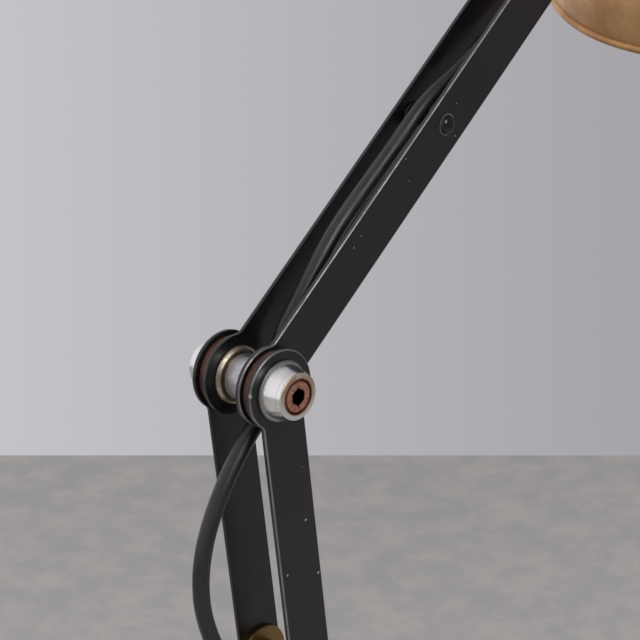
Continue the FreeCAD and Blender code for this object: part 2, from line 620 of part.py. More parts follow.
def cap_and_holder():
    wall = CAP_WALL
    hole = LUG_STEM_RADIUS + SEAT_CLEARANCE
    neck_end = CAP_TOP + CAP_NECK
    cap = head_turned([(hole, CAP_TOP), (CAP_NECK_RADIUS, CAP_TOP, SOFT_EDGE),
                       (CAP_NECK_RADIUS, neck_end, CAP_NECK_FILLET), (CAP_RADIUS, CAP_SHOULDER, CAP_FILLET),
                       (CAP_RADIUS, SHADE_TOP), (CAP_RADIUS - wall, SHADE_TOP),
                       (CAP_RADIUS - wall, CAP_SHOULDER + CAP_FLANK_RISE, CAP_FILLET - wall),
                       (CAP_NECK_RADIUS, neck_end + CAP_FLANK_WALL), (CAP_NECK_RADIUS, neck_end),
                       (hole, neck_end)])
    place, normal = flank_point(GROMMET_DOWN_FLANK)
    reach = 4 * wall
    nodes["head_cap"] = cap.cut(rod(GROMMET_WALL_RADIUS + SEAT_CLEARANCE, -reach, reach, place, normal))
    bore = FLEX_RADIUS + SEAT_CLEARANCE
    grommet = [(bore, -wall), (GROMMET_WALL_RADIUS, -wall), (GROMMET_WALL_RADIUS, GROMMET_SEAT),
               (GROMMET_RADIUS, GROMMET_SEAT), (GROMMET_RADIUS, GROMMET_LIP, SOFT_EDGE), (bore, GROMMET_LIP)]
    nodes["head_grommet"] = turned(grommet, place, normal)
    nut_top = neck_end
    nut = hexagon(CAP_NUT_HEX, nut_top, nut_top + CAP_NUT_HEIGHT, HEAD_PIVOT, DOWN_HEAD)
    nodes["head_cap_nut"] = nut.cut(rod(hole, 0, SHADE_TOP, HEAD_PIVOT, DOWN_HEAD))
    floor = HOLDER_TOP + HOLDER_FLOOR
    holder = [(hole, HOLDER_TOP), (HOLDER_RADIUS, HOLDER_TOP, HOLDER_ROUNDING),
              (HOLDER_RADIUS, HOLDER_BOTTOM, SOFT_EDGE), (HOLDER_MOUTH_RADIUS, HOLDER_BOTTOM),
              (HOLDER_MOUTH_RADIUS, HOLDER_LEDGE), (HOLDER_BORE_RADIUS, HOLDER_LEDGE),
              (HOLDER_BORE_RADIUS, floor), (hole, floor)]
    nodes["lampholder"] = head_turned(holder)
    ring_top, thread = SHADE_TOP + SHADE_WALL, HOLDER_RADIUS + SEAT_CLEARANCE
    ring_bottom = ring_top + SHADE_RING
    nodes["shade_ring"] = head_turned([(thread, ring_top), (SHADE_RING_RADIUS, ring_top),
                                       (SHADE_RING_RADIUS, ring_bottom, SOFT_EDGE), (thread, ring_bottom)])


def dome(shrink, overhang):
    """The shade's filled form, made smaller by shrink, and the radius of its rim."""
    bend = SHADE_BEND_RADIUS - shrink
    centre = Vec(SHADE_PLATE_RADIUS, SHADE_TOP + SHADE_BEND_RADIUS, 0)
    reach = math.asin((SHADE_BEND_RADIUS - SHADE_DEPTH) / SHADE_BEND_RADIUS)
    top = Vec(SHADE_PLATE_RADIUS, SHADE_TOP + shrink, 0)
    middle_angle = (math.pi / 2 + reach) / 2
    middle = centre + Vec(math.cos(middle_angle), -math.sin(middle_angle), 0) * bend
    rim = centre + Vec(math.cos(reach), -math.sin(reach), 0) * bend
    low = Vec(rim.x, SHADE_RIM + overhang, 0)
    wire = Part.Wire([
        Part.LineSegment(Vec(0, top.y, 0), top).toShape(), Part.Arc(top, middle, rim).toShape(),
        *([Part.LineSegment(rim, low).toShape()] if overhang else []),
        Part.LineSegment(low, Vec(0, low.y, 0)).toShape(),
        Part.LineSegment(Vec(0, low.y, 0), Vec(0, top.y, 0)).toShape()])
    solid = Part.Face(wire).revolve(Vec(0, 0, 0), Vec(0, 1, 0), 360)
    solid.Placement = FreeCAD.Placement(HEAD_PIVOT, FreeCAD.Rotation(Vec(0, 1, 0), DOWN_HEAD))
    return solid, rim.x


def shade():
    """A spun dome with a flat top plate and a rolled bead round its rim."""
    outer, rim_radius = dome(0, 0)
    inner, _ = dome(SHADE_WALL, CUTTER_PAST)
    shell = outer.cut(inner)
    bead = Part.makeTorus(rim_radius, SHADE_BEAD_RADIUS, HEAD_PIVOT + DOWN_HEAD * SHADE_RIM, DOWN_HEAD)
    hole = rod(HOLDER_RADIUS + SEAT_CLEARANCE, SHADE_TOP - CUTTER_PAST, SHADE_TOP + SHADE_WALL + CUTTER_PAST,
               HEAD_PIVOT, DOWN_HEAD)
    nodes["shade"] = shell.fuse(bead).cut(hole).removeSplitter()


def bulb():
    neck_top = HOLDER_LEDGE + BULB_SEAT_GAP
    joint = BULB_CENTRE - math.sqrt(BULB_RADIUS**2 - BULB_NECK_RADIUS**2)
    ball = Part.makeSphere(BULB_RADIUS, Vec(0, BULB_CENTRE, 0))
    void = Part.makeSphere(BULB_RADIUS - BULB_WALL, Vec(0, BULB_CENTRE, 0))
    neck = rod(BULB_NECK_RADIUS, neck_top, joint + CUTTER_PAST)
    throat = rod(BULB_NECK_RADIUS - BULB_WALL, neck_top - CUTTER_PAST, joint + 2 * CUTTER_PAST)
    glass = ball.fuse(neck).removeSplitter().cut(void.fuse(throat))
    glass.Placement = FreeCAD.Placement(HEAD_PIVOT, FreeCAD.Rotation(Vec(0, 1, 0), DOWN_HEAD))
    nodes["bulb_glass"] = glass
    cap_top = neck_top - BULB_CAP_HEIGHT
    contact_top = cap_top - BULB_CONTACT
    nodes["bulb_cap"] = head_turned([(0, contact_top), (BULB_CONTACT_RADIUS, contact_top, SOFT_EDGE),
                                     (BULB_CONTACT_RADIUS, cap_top), (BULB_CAP_RADIUS, cap_top, SOFT_EDGE),
                                     (BULB_CAP_RADIUS, neck_top - BULB_SKIRT), (BULB_NECK_RADIUS, neck_top),
                                     (0, neck_top)])


tilt_joint()
cap_and_holder()
shade()
bulb()


# ---------------------------------------------------------------- flex through the arms


def on_arm(joint, angle, places):
    """Points by their distance from a joint along an arm and their offset to the arm's upper left."""
    along, aside = heading(angle), heading(angle + 90)
    return [joint + along * s + aside * offset for s, offset in places]


def beside(joint, places):
    return [joint + Vec(x, 0, z) for x, z in places]


# Points of the flex, from the base to the head. On an arm: by distance from the joint named, or from the
# arm's middle. Round a joint: by X and Z from it. Between two stretches there is none: they meet halfway.
SHOULDER_FLEX = [(0, -27.5), (-1.6, -21.5), (-7.2, -11.0), (-11.8, 4.0), (-11.9, 21.0)]
LOWER_FLEX_FROM_SHOULDER = [(54, 6.9), (74, 6.7), (96, 7.4), (118, 5.6)]
LOWER_FLEX_MIDDLE = [(-10, 1.9)]
LOWER_FLEX_FROM_ELBOW = [(-138, 0.9)]
ELBOW_FLEX_ON_LOWER = [(-110, 7.4), (-96, 16.0), (-83, 23.6)]
ELBOW_FLEX = [(-19.4, -69.0), (-20.9, -56.0), (-18.6, -43.6), (-13.3, -32.4), (-6.4, -22.3), (1.4, -13.6),
              (9.6, -6.6), (11.6, 1.0)]
ELBOW_FLEX_ON_UPPER = [(14.5, 0.2), (24, 1.6)]
UPPER_FLEX_FROM_ELBOW = [(45, 6.7), (57, 7.1), (70, 6.5), (84, 5.7), (98, 5.5), (113, 1.4), (130, -1.8)]
UPPER_FLEX_MIDDLE = [(2, -3.4)]
UPPER_FLEX_FROM_HEAD = [(-122, -5.0), (-96, -6.0), (-76, -5.4)]
HEAD_FLEX = [(-42.4, -39.6), (-30.2, -32.4), (-20.4, -24.6)]
FLEX_BEFORE_GROMMET = 8.0
FLEX_IN_CAP = 1.2


def arm_flex():
    """One flex from the base to the head: inside the arms, beside the spools, over or under the spacers."""
    low, high = LOWER_ARM_ANGLE, UPPER_ARM_ANGLE
    low_middle, high_middle = (SHOULDER + ELBOW) * 0.5, (ELBOW + HEAD_PIVOT) * 0.5
    entry, normal = flank_point(GROMMET_DOWN_FLANK)
    stretches = {
        "flex_shoulder": beside(SHOULDER, SHOULDER_FLEX),
        "flex_lower_arm": (on_arm(SHOULDER, low, LOWER_FLEX_FROM_SHOULDER)
                           + on_arm(low_middle, low, LOWER_FLEX_MIDDLE)
                           + on_arm(ELBOW, low, LOWER_FLEX_FROM_ELBOW)),
        "flex_elbow": (on_arm(ELBOW, low, ELBOW_FLEX_ON_LOWER) + beside(ELBOW, ELBOW_FLEX)
                       + on_arm(ELBOW, high, ELBOW_FLEX_ON_UPPER)),
        "flex_upper_arm": (on_arm(ELBOW, high, UPPER_FLEX_FROM_ELBOW)
                           + on_arm(high_middle, high, UPPER_FLEX_MIDDLE)
                           + on_arm(HEAD_PIVOT, high, UPPER_FLEX_FROM_HEAD)),
        "flex_head": beside(HEAD_PIVOT, HEAD_FLEX) + [entry + normal * FLEX_BEFORE_GROMMET],
    }
    points = list(stretches.values())
    cuts = [(last[-1] + first[0]) * 0.5 for last, first in zip(points, points[1:])]
    starts = [Vec(0, 0, TENON_TOP), *cuts]
    ends = [*cuts, entry - normal * FLEX_IN_CAP]
    for name, start, end in zip(stretches, starts, ends):
        nodes[name] = cord_tube(name, [start, *stretches[name], end])
    stem_end = PAD_THICKNESS + WEIGHT_POCKET_HEIGHT - STEM_WASHER_THICKNESS - STEM_NUT_HEIGHT
    nodes["flex_in_post"] = rod(FLEX_RADIUS, stem_end, TENON_TOP, axis=UP)


arm_flex()


# ---------------------------------------------------------------- mains lead


def gland():
    """A rubber gland in the cover's side wall, with its tapered strain relief."""
    inner_wall = BASE_RADIUS - COVER_THICKNESS
    flange = BASE_RADIUS + GLAND_FLANGE
    back, lip = inner_wall - GLAND_INSIDE, inner_wall - GLAND_SEAT
    tip = flange + RELIEF_LENGTH
    profile = [(0, back), (GLAND_INSIDE_RADIUS, back), (GLAND_INSIDE_RADIUS, lip), (GLAND_WALL_RADIUS, lip),
               (GLAND_WALL_RADIUS, BASE_RADIUS), (GLAND_FLANGE_RADIUS, BASE_RADIUS),
               (GLAND_FLANGE_RADIUS, flange, SOFT_EDGE), (RELIEF_ROOT_RADIUS, flange),
               (RELIEF_TIP_RADIUS, tip), (0, tip)]
    nodes["lead_gland"] = turned(profile, GLAND_AT)


def coil_point(turn):
    """The lead's middle after this many turns: layers spiral in and out, and each climb takes half a turn."""
    layer, place = 0, turn
    while layer < COIL_LAYERS - 1 and place > COIL_TURNS_PER_LAYER + COIL_CLIMB:
        place -= COIL_TURNS_PER_LAYER + COIL_CLIMB
        layer += 1
    wound = min(place, COIL_TURNS_PER_LAYER)
    climb = max(0.0, place - COIL_TURNS_PER_LAYER) / COIL_CLIMB
    inward = wound if layer % 2 == 0 else COIL_TURNS_PER_LAYER - wound
    radius = COIL_OUTER_RADIUS - COIL_PITCH * inward
    height = LEAD_ON_TABLE + COIL_STEP * (layer + climb * climb * (3 - 2 * climb))
    angle = math.pi - 2 * math.pi * turn
    return Vec(COIL_CENTRE[0] + radius * math.cos(angle), COIL_CENTRE[1] + radius * math.sin(angle), height)


COIL_TURNS = COIL_LAYERS * COIL_TURNS_PER_LAYER + (COIL_LAYERS - 1) * COIL_CLIMB


def coil_direction(turn):
    step = 0.01
    return (coil_point(turn + step) - coil_point(turn - step)).normalize()


def coil_ends():
    """The coil's tube runs straight for one diameter past its first and last turns."""
    straight = 2 * FLEX_RADIUS
    return (coil_point(0) - coil_direction(0) * straight,
            coil_point(COIL_TURNS) + coil_direction(COIL_TURNS) * straight)


def biarc(start, start_way, end, end_way):
    """Two tangent arcs from one point and direction to another."""
    span, ways = end - start, start_way + end_way
    a = 2 * (1 - start_way.dot(end_way))
    b = 2 * span.dot(ways)
    reach = (-b + math.sqrt(b * b + 4 * a * span.dot(span))) / (2 * a)
    middle = (start + end + (start_way - end_way) * reach) * 0.5
    return [corner_arc(start, start + start_way * reach, middle),
            corner_arc(middle, end - end_way * reach, end)]


def coil():
    """The spare lead, wound and put away: one unbroken tube of quarter-turn biarcs."""
    quarters = int(round(COIL_TURNS * 4))
    edges = []
    for k in range(quarters):
        a, b = k / 4, (k + 1) / 4
        edges += biarc(coil_point(a), coil_direction(a), coil_point(b), coil_direction(b))
    start, end = coil_ends()
    path = Part.Wire([Part.LineSegment(start, coil_point(0)).toShape(), *edges,
                      Part.LineSegment(coil_point(COIL_TURNS), end).toShape()])
    nodes["lead_coil"] = swept(path, start, coil_direction(0))
    samples = [coil_point(k / 48) for k in range(int(COIL_TURNS * 48) + 1)]
    least = min(p.distanceToPoint(q) for i, p in enumerate(samples) for q in samples[i + 24:])
    print(f"lead_coil: {path.Length:.1f} mm, {COIL_TURNS} turns, least gap {least - 2 * FLEX_RADIUS:.2f} mm,"
          f" volume {nodes['lead_coil'].Volume / (FLEX_AREA * path.Length):.4f} of section times length")


def loose_lead():
    """From the strain relief to the coil, and from the coil's last turn to the plug."""
    tip = Vec(0, BASE_RADIUS + GLAND_FLANGE + RELIEF_LENGTH, GLAND_HEIGHT)
    start, last = coil_ends()
    run = [tip, tip + Vec(0, LEAD_RUN_ENDS, 0), start - coil_direction(0) * LEAD_RUN_ENDS, start]
    nodes["lead_run"] = cord_tube("lead_run", run)
    ahead = heading_on_table(PLUG_HEADING)
    entry = Vec(PLUG_ENTRY[0], PLUG_ENTRY[1], PLUG_HEIGHT)
    off = last + coil_direction(COIL_TURNS) * LEAD_OFF_COIL
    tail = [last, off, *[Vec(*point) for point in LEAD_TAIL], entry]
    nodes["lead_tail"] = cord_tube("lead_tail", tail)
    return entry, ahead


def heading_on_table(angle):
    return Vec(math.cos(math.radians(angle)), math.sin(math.radians(angle)), 0)


def plug(entry, ahead):
    """A flat two-pin plug lying on the table: a tapered neck, a waisted body and two round pins."""
    face, tip = PLUG_LENGTH, PLUG_LENGTH + PLUG_PIN_LENGTH
    body = turned([(0, 0), (PLUG_NECK_RADIUS, 0, SOFT_EDGE),
                   (PLUG_NECK_RADIUS + PLUG_NECK_FLARE, PLUG_NECK_LENGTH),
                   (PLUG_RADIUS, PLUG_WAIST, PLUG_WAIST_ROUNDING),
                   (PLUG_RADIUS + PLUG_FACE_FLARE, face, PLUG_FACE_ROUNDING), (0, face)], entry, ahead)
    slab = Part.makeBox(4 * PLUG_LENGTH, 4 * PLUG_LENGTH, PLUG_FLAT)
    slab.translate(entry - Vec(2 * PLUG_LENGTH, 2 * PLUG_LENGTH, PLUG_FLAT / 2))
    nodes["plug_body"] = body.common(slab)
    side = Vec(-ahead.y, ahead.x, 0)
    profile = [(0, face), (PLUG_PIN_RADIUS, face), (PLUG_PIN_RADIUS, tip, PLUG_PIN_ROUNDING), (0, tip)]
    pins = [turned(profile, entry + side * (PLUG_PIN_SPACING / 2 * way), ahead) for way in (-1, 1)]
    nodes["plug_pins"] = group(*pins)


gland()
coil()
plug(*loose_lead())


# ---------------------------------------------------------------- files

os.makedirs("parts", exist_ok=True)
for name, shape in nodes.items():
    for solid in shape.Solids:
        if not solid.isValid():
            print("not valid:", name)
    shape.exportStep(f"parts/{name}.step")
print(len(nodes), "nodes")
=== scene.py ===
"""Folding desk lamp with two pairs of enamelled steel bars, turned aluminium joints and a weighted base.

Sizes are in millimetres and are turned into metres where a mesh or a light is made. +Z is up, the near side
of the lamp is -Y, and every joint of the arms turns about an axis along Y.
"""

import json
import math

import bmesh
import bpy
from mathutils import Matrix, Vector


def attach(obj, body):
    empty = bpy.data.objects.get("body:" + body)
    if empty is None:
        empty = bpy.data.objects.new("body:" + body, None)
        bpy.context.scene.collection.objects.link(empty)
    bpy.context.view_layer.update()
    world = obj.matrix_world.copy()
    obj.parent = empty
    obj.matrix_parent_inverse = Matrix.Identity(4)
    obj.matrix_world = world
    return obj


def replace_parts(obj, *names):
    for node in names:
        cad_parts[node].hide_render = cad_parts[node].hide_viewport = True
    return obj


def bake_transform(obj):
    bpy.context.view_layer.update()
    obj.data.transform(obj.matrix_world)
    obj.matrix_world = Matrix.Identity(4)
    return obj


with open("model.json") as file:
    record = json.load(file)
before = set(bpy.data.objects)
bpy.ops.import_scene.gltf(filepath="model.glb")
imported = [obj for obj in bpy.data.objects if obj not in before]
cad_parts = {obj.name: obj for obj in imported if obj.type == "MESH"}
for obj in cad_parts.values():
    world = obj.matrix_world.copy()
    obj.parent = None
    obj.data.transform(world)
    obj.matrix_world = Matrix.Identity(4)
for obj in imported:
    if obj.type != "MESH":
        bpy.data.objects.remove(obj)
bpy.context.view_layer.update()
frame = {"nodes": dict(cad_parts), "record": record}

# ---------------------------------------------------------------- weighted base
# A spun steel cover, stoved in black enamel, is pressed over a cast-iron disc with a felt pad glued under it.
# These nodes have their true shape already, so they only take their finish.

MM = 0.001


def add(tree, kind, sockets=None, **settings):
    """A shader node. Each socket takes a plain value or another node's output."""
    made = tree.nodes.new("ShaderNode" + kind)
    for key, value in settings.items():
        setattr(made, key, value)
    for name, value in (sockets or {}).items():
        if isinstance(value, bpy.types.NodeSocket):
            tree.links.new(value, made.inputs[name])
        else:
            made.inputs[name].default_value = value
    return made


def maths(tree, operation, *values):
    return add(tree, "Math", dict(enumerate(values)), operation=operation).outputs[0]


def fade(tree, value, start, end, first=0.0, last=1.0):
    """A value that goes smoothly from first to last as another one goes from start to end."""
    sockets = {"Value": value, "From Min": start, "From Max": end, "To Min": first, "To Max": last}
    return add(tree, "MapRange", sockets, interpolation_type="SMOOTHSTEP").outputs[0]


def mixed(tree, share, first, second):
    """Two colours mixed by a share of the second."""
    colours = [(*c, 1.0) if isinstance(c, tuple) else c for c in (first, second)]
    return add(tree, "Mix", {0: share, 6: colours[0], 7: colours[1]}, data_type="RGBA").outputs[2]


def noise(tree, where, size, detail=3.0, rough=0.5, stretch=None):
    """Noise whose features are about this many millimetres across."""
    if stretch:
        where = add(tree, "VectorMath", {0: where, 1: stretch}, operation="MULTIPLY").outputs[0]
    sockets = {"Vector": where, "Scale": 1 / (size * MM), "Detail": detail, "Roughness": rough}
    return add(tree, "TexNoise", sockets).outputs[0]


def from_centre(tree, centre=(0, 0, 0), turn=0.0):
    """Object coordinates from a centre, turned back by an angle about Y."""
    coords = add(tree, "TexCoord").outputs["Object"]
    sockets = {"Vector": coords, "Location": [c * MM for c in centre], "Rotation": (0, -math.radians(turn), 0)}
    return add(tree, "Mapping", sockets, vector_type="TEXTURE").outputs[0]


def from_axis(tree, first, second):
    """The distance from an axis, out of the two coordinates across it."""
    squares = [maths(tree, "POWER", value, 2.0) for value in (first, second)]
    return maths(tree, "SQRT", maths(tree, "ADD", *squares))


def relief(tree, height, depth):
    """A bump this many millimetres deep, for a shader's normal."""
    return add(tree, "Bump", {"Height": height, "Distance": depth * MM}).outputs[0]


def surface(name, colour, **sockets):
    """A new material. Its own numbers go straight on the shader; patterns are linked to it afterwards."""
    material = bpy.data.materials.new(name)
    material.use_nodes = True
    shader = material.node_tree.nodes["Principled BSDF"]
    shader.inputs["Base Color"].default_value = (*colour, 1.0)
    for key, value in sockets.items():
        shader.inputs[key.replace("_", " ").title().replace("Ior", "IOR")].default_value = value
    return material, material.node_tree, shader


def paint(tree, shader, **patterns):
    """Links patterns to a shader's sockets."""
    for key, value in patterns.items():
        tree.links.new(value, shader.inputs[key.replace("_", " ").title()])


def dress(finish, *names):
    """Gives carried-over nodes a finish."""
    for name in names:
        materials = frame["nodes"][name].data.materials
        materials.clear()
        materials.append(finish)


def enamel(name, colour, warm, gloss):
    """Stoved enamel: faint orange peel, a cloudy tint and settled dust."""
    material, tree, shader = surface(name, colour, roughness=gloss)
    where = from_centre(tree)
    cloud = fade(tree, noise(tree, where, 30.0, 4.0), 0.4, 0.62)
    dust = fade(tree, noise(tree, where, 0.8, 2.0, 0.7), 0.66, 0.76)
    tinted = mixed(tree, cloud, colour, warm)
    dusty = mixed(tree, maths(tree, "MULTIPLY", dust, 0.25), tinted, (0.09, 0.085, 0.085))
    peel = noise(tree, where, 1.6, 2.0)
    paint(tree, shader, base_color=dusty, normal=relief(tree, peel, 0.03),
          roughness=fade(tree, noise(tree, where, 9.0, 4.0, 0.6), 0.3, 0.7, gloss - 0.07, gloss + 0.09))
    return material


def plain_metal(name, colour, rough, grain=0.5):
    """Plated or cast metal with a fine even grain."""
    material, tree, shader = surface(name, colour, metallic=1.0, roughness=rough)
    where = from_centre(tree)
    spots = fade(tree, noise(tree, where, 6.0, 5.0, 0.65), 0.45, 0.7)
    darker = tuple(c * 0.6 for c in colour)
    paint(tree, shader, base_color=mixed(tree, spots, colour, darker),
          normal=relief(tree, noise(tree, where, grain, 3.0), 0.02),
          roughness=fade(tree, spots, 0.0, 1.0, rough, rough + 0.2))
    return material


def felt(name, colour):
    material, tree, shader = surface(name, colour, roughness=1.0, sheen_weight=0.4)
    where = from_centre(tree)
    fibres = noise(tree, where, 0.7, 5.0, 0.8)
    lighter = tuple(c * 2.2 for c in colour)
    paint(tree, shader, base_color=mixed(tree, fade(tree, fibres, 0.35, 0.7), colour, lighter),
          normal=relief(tree, fibres, 0.4))
    return material


black_enamel = enamel("base_enamel", (0.005, 0.0045, 0.005), (0.008, 0.006, 0.007), 0.36)
dress(black_enamel, "base_cover", "swivel_collar", "swivel_post")
dress(plain_metal("cast_iron", (0.16, 0.15, 0.15), 0.6, 1.2), "base_weight")
dress(felt("pad_felt", (0.02, 0.021, 0.02)), "base_pad")
zinc = plain_metal("zinc_steel", (0.55, 0.55, 0.57), 0.32)
dress(zinc, "swivel_spring_washer", "swivel_nut", "head_cap_nut")

# ---------------------------------------------------------------- push switch
# A chromed bush through the cover, with a round button of black plastic that goes down 2 mm.


def moulded(name, colour, rough):
    """Black plastic or rubber with a fine moulded grain."""
    material, tree, shader = surface(name, colour, roughness=rough)
    where = from_centre(tree)
    paint(tree, shader, normal=relief(tree, noise(tree, where, 0.35, 2.0), 0.012),
          base_color=mixed(tree, fade(tree, noise(tree, where, 4.0, 4.0), 0.4, 0.7), colour,
                           tuple(c * 1.5 for c in colour)))
    return material


dress(plain_metal("switch_chrome", (0.7, 0.7, 0.7), 0.12), "switch_bush")
black_plastic = moulded("black_plastic", (0.014, 0.014, 0.015), 0.38)
dress(black_plastic, "switch_button", "switch_body", "lampholder", "shade_ring", "head_grommet")

# ---------------------------------------------------------------- mains lead
# A round PVC lead of 5 mm leaves the back of the base through a rubber gland with a tapered strain relief.
# The photograph doesn't show it, so it is put away: wound into a coil behind the base, with its plug beside it.

GLAND_AT = (0.0, 0.0, 7.5)
RELIEF_RIBS = 6
RELIEF_TIP = 118.0
LEAD_RADIUS = 2.5
LEAD_STRAIGHT = 11.5
COIL_CENTRE = (37.0, 161.0)
COIL_LOWEST = 2.6
COIL_OUTER_RADIUS = 34.8
COIL_PITCH = 6.4
COIL_STEP = 5.7
COIL_LAYERS = 4
TURNS_PER_LAYER = 2
COIL_CLIMB = 0.5
POINTS_PER_TURN = 16
LEAD_TAIL = [(75.5, 125.5, 15.4), (81.5, 111.0, 8.8), (93.0, 100.5, 4.2), (108.0, 95.0, 2.8),
             (123.5, 93.5, 5.2), (137.5, 94.0, 8.5)]
PLUG_ENTRY = (151.0, 94.0, 8.5)
PLUG_LENGTH = 34.0
PLUG_HALF_THICKNESS = 8.0
PIN_RADIUS = 2.0
PIN_LENGTH = 19.0
PIN_SPACING = 19.0
CREASE = math.radians(35)


def coil_point(turn):
    """The lead's middle after this many turns: layers spiral in and out, and each climb takes half a turn."""
    layer, place = 0, turn
    while layer < COIL_LAYERS - 1 and place > TURNS_PER_LAYER + COIL_CLIMB:
        place -= TURNS_PER_LAYER + COIL_CLIMB
        layer += 1
    wound = min(place, TURNS_PER_LAYER)
    climb = max(0.0, place - TURNS_PER_LAYER) / COIL_CLIMB
    inward = wound if layer % 2 == 0 else TURNS_PER_LAYER - wound
    radius = COIL_OUTER_RADIUS - COIL_PITCH * inward
    height = COIL_LOWEST + COIL_STEP * (layer + climb * climb * (3 - 2 * climb))
    angle = math.pi - 2 * math.pi * turn
    return Vector((COIL_CENTRE[0] + radius * math.cos(angle), COIL_CENTRE[1] + radius * math.sin(angle), height))


def coil_direction(turn):
    """The way the lead runs after this many turns."""
    return (coil_point(turn + 0.01) - coil_point(turn - 0.01)).normalized()


def shown(name, data):
    """An object in the scene that shows a mesh, curve, lamp or camera."""
    made = bpy.data.objects.new(name, data)
    bpy.context.collection.objects.link(made)
    return made


def smooth_lead(name, points, finish):
    """A round lead of one smooth line, drawn towards each point in turn."""
    curve = bpy.data.curves.new(name, "CURVE")
    curve.dimensions = "3D"
    curve.bevel_depth = LEAD_RADIUS * MM
    curve.bevel_resolution = 6
    curve.resolution_u = 10
    curve.use_fill_caps = True
    spline = curve.splines.new("NURBS")
    spline.points.add(len(points) - 1)
    for place, point in zip(spline.points, points):
        place.co = (*[c * MM for c in point], 1.0)
    spline.order_u = 3
    spline.use_endpoint_u = True
    curve.materials.append(finish)
    return shown(name, curve)


def sheath(name, colour, rough, dust):
    """The sheath of a flex: drawn streaks along it, from its own UV, and dust that settled on it."""
    material, tree, shader = surface(name, colour, roughness=rough)
    uv = add(tree, "TexCoord").outputs["UV"]
    stretched = add(tree, "VectorMath", {0: uv, 1: (2.0, 40.0, 0.0)}, operation="MULTIPLY").outputs[0]
    streaks = add(tree, "TexNoise", {"Vector": stretched, "Scale": 1.0, "Detail": 2.0}).outputs[0]
    where = from_centre(tree)
    patches = fade(tree, noise(tree, where, 14.0, 4.0, 0.6), 0.42, 0.68)
    lighter = tuple(c * 2.6 for c in colour)
    streaky = mixed(tree, fade(tree, streaks, 0.35, 0.65), colour, lighter)
    paint(tree, shader, base_color=mixed(tree, maths(tree, "MULTIPLY", patches, 0.35), streaky, dust),
          normal=relief(tree, streaks, 0.06), roughness=fade(tree, patches, 0.0, 1.0, rough, rough + 0.15))
    return material


def lathe(profile, steps=96):
    """A turned shape about Z. The profile is (radius, height[, rounding]) in millimetres. It closes on itself
    unless an end of it lies on the axis."""
    bm = bmesh.new()
    points = [bm.verts.new((p[0] * MM, 0, p[1] * MM)) for p in profile]
    for a, b in zip(points, points[1:]):
        bm.edges.new((a, b))
    if profile[0][0] and profile[-1][0]:
        bm.edges.new((points[-1], points[0]))
    for point, place in zip(points, profile):
        if len(place) > 2:
            bmesh.ops.bevel(bm, geom=[point], offset=place[2] * MM, segments=4, profile=0.5,
                            affect="VERTICES", material=-1)
    return spun(bm, steps)


def spun(bm, steps=96):
    """A drawn profile turned all the way round Z."""
    bmesh.ops.spin(bm, geom=bm.verts[:] + bm.edges[:], cent=(0, 0, 0), axis=(0, 0, 1), dvec=(0, 0, 0),
                   angle=2 * math.pi, steps=steps, use_merge=True)
    bmesh.ops.remove_doubles(bm, verts=bm.verts[:], dist=1e-6)
    bmesh.ops.recalc_face_normals(bm, faces=bm.faces[:])
    return bm


def placed(bm, centre, axis):
    """Moves a shape drawn about Z to its centre and axis."""
    turn = Vector((0, 0, 1)).rotation_difference(Vector(axis)).to_matrix().to_4x4()
    matrix = Matrix.Translation(Vector(centre) * MM) @ turn
    bmesh.ops.transform(bm, matrix=matrix, verts=bm.verts[:])
    return bm


def joined(shapes):
    """Several shapes as one."""
    whole = bmesh.new()
    for shape in shapes:
        mesh = bpy.data.meshes.new("part")
        shape.to_mesh(mesh)
        shape.free()
        whole.from_mesh(mesh)
        bpy.data.meshes.remove(mesh)
    return whole


def piece(name, bm, finish, body, slot, *replaces):
    """Makes a shape into a piece that rides on its body and stands for its nodes."""
    for face in bm.faces:
        face.smooth = True
    for edge in bm.edges:
        edge.smooth = edge.calc_face_angle(0) < CREASE
    mesh = bpy.data.meshes.new(name)
    bm.to_mesh(mesh)
    bm.free()
    mesh.materials.append(finish)
    made = shown(name, mesh)
    made.modifiers.new("even_faces", "WEIGHTED_NORMAL").keep_sharp = True
    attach(made, body)
    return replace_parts(made, *replaces)


black_rubber = moulded("black_rubber", (0.016, 0.016, 0.017), 0.55)
ribs = []
for rib in range(RELIEF_RIBS):
    wide, place = 4.4 - 0.18 * rib, 89.0 + 4.6 * rib
    ribs += [(wide, place + 0.2, 0.3), (wide - 0.1, place + 2.8, 0.3), (3.1, place + 3.2), (3.1, place + 4.2)]
gland = lathe([(0, 77.8), (5.5, 77.8, 0.3), (5.5, 83.5), (4.4, 83.5), (4.4, 85.0), (5.8, 85.0), (5.8, 88.0, 0.5),
               *ribs, (3.3, 116.8), (3.3, RELIEF_TIP, 0.4), (0, RELIEF_TIP)])
gland = piece("lead_strain_relief", placed(gland, GLAND_AT, (0, 1, 0)), black_rubber, "base", "flex_rubber",
              "lead_gland")

coil_turns = COIL_LAYERS * TURNS_PER_LAYER + (COIL_LAYERS - 1) * COIL_CLIMB
tip = Vector((0.0, RELIEF_TIP, GLAND_AT[2]))
coil_start = coil_point(0) - coil_direction(0) * 2 * LEAD_RADIUS
coil_end = coil_point(coil_turns) + coil_direction(coil_turns) * 2 * LEAD_RADIUS
lead_points = [tip, tip + Vector((0, LEAD_STRAIGHT, 0)), coil_start - coil_direction(0) * LEAD_STRAIGHT, coil_start]
lead_points += [coil_point(k / POINTS_PER_TURN) for k in range(int(coil_turns * POINTS_PER_TURN) + 1)]
lead_points += [coil_end, coil_end + coil_direction(coil_turns) * 14.0, *LEAD_TAIL, PLUG_ENTRY]
lead_sheath = sheath("lead_sheath", (0.009, 0.009, 0.0095), 0.34, (0.035, 0.032, 0.028))
lead = smooth_lead("mains_lead", lead_points, lead_sheath)
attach(lead, "base")
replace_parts(lead, "lead_run", "lead_coil", "lead_tail")

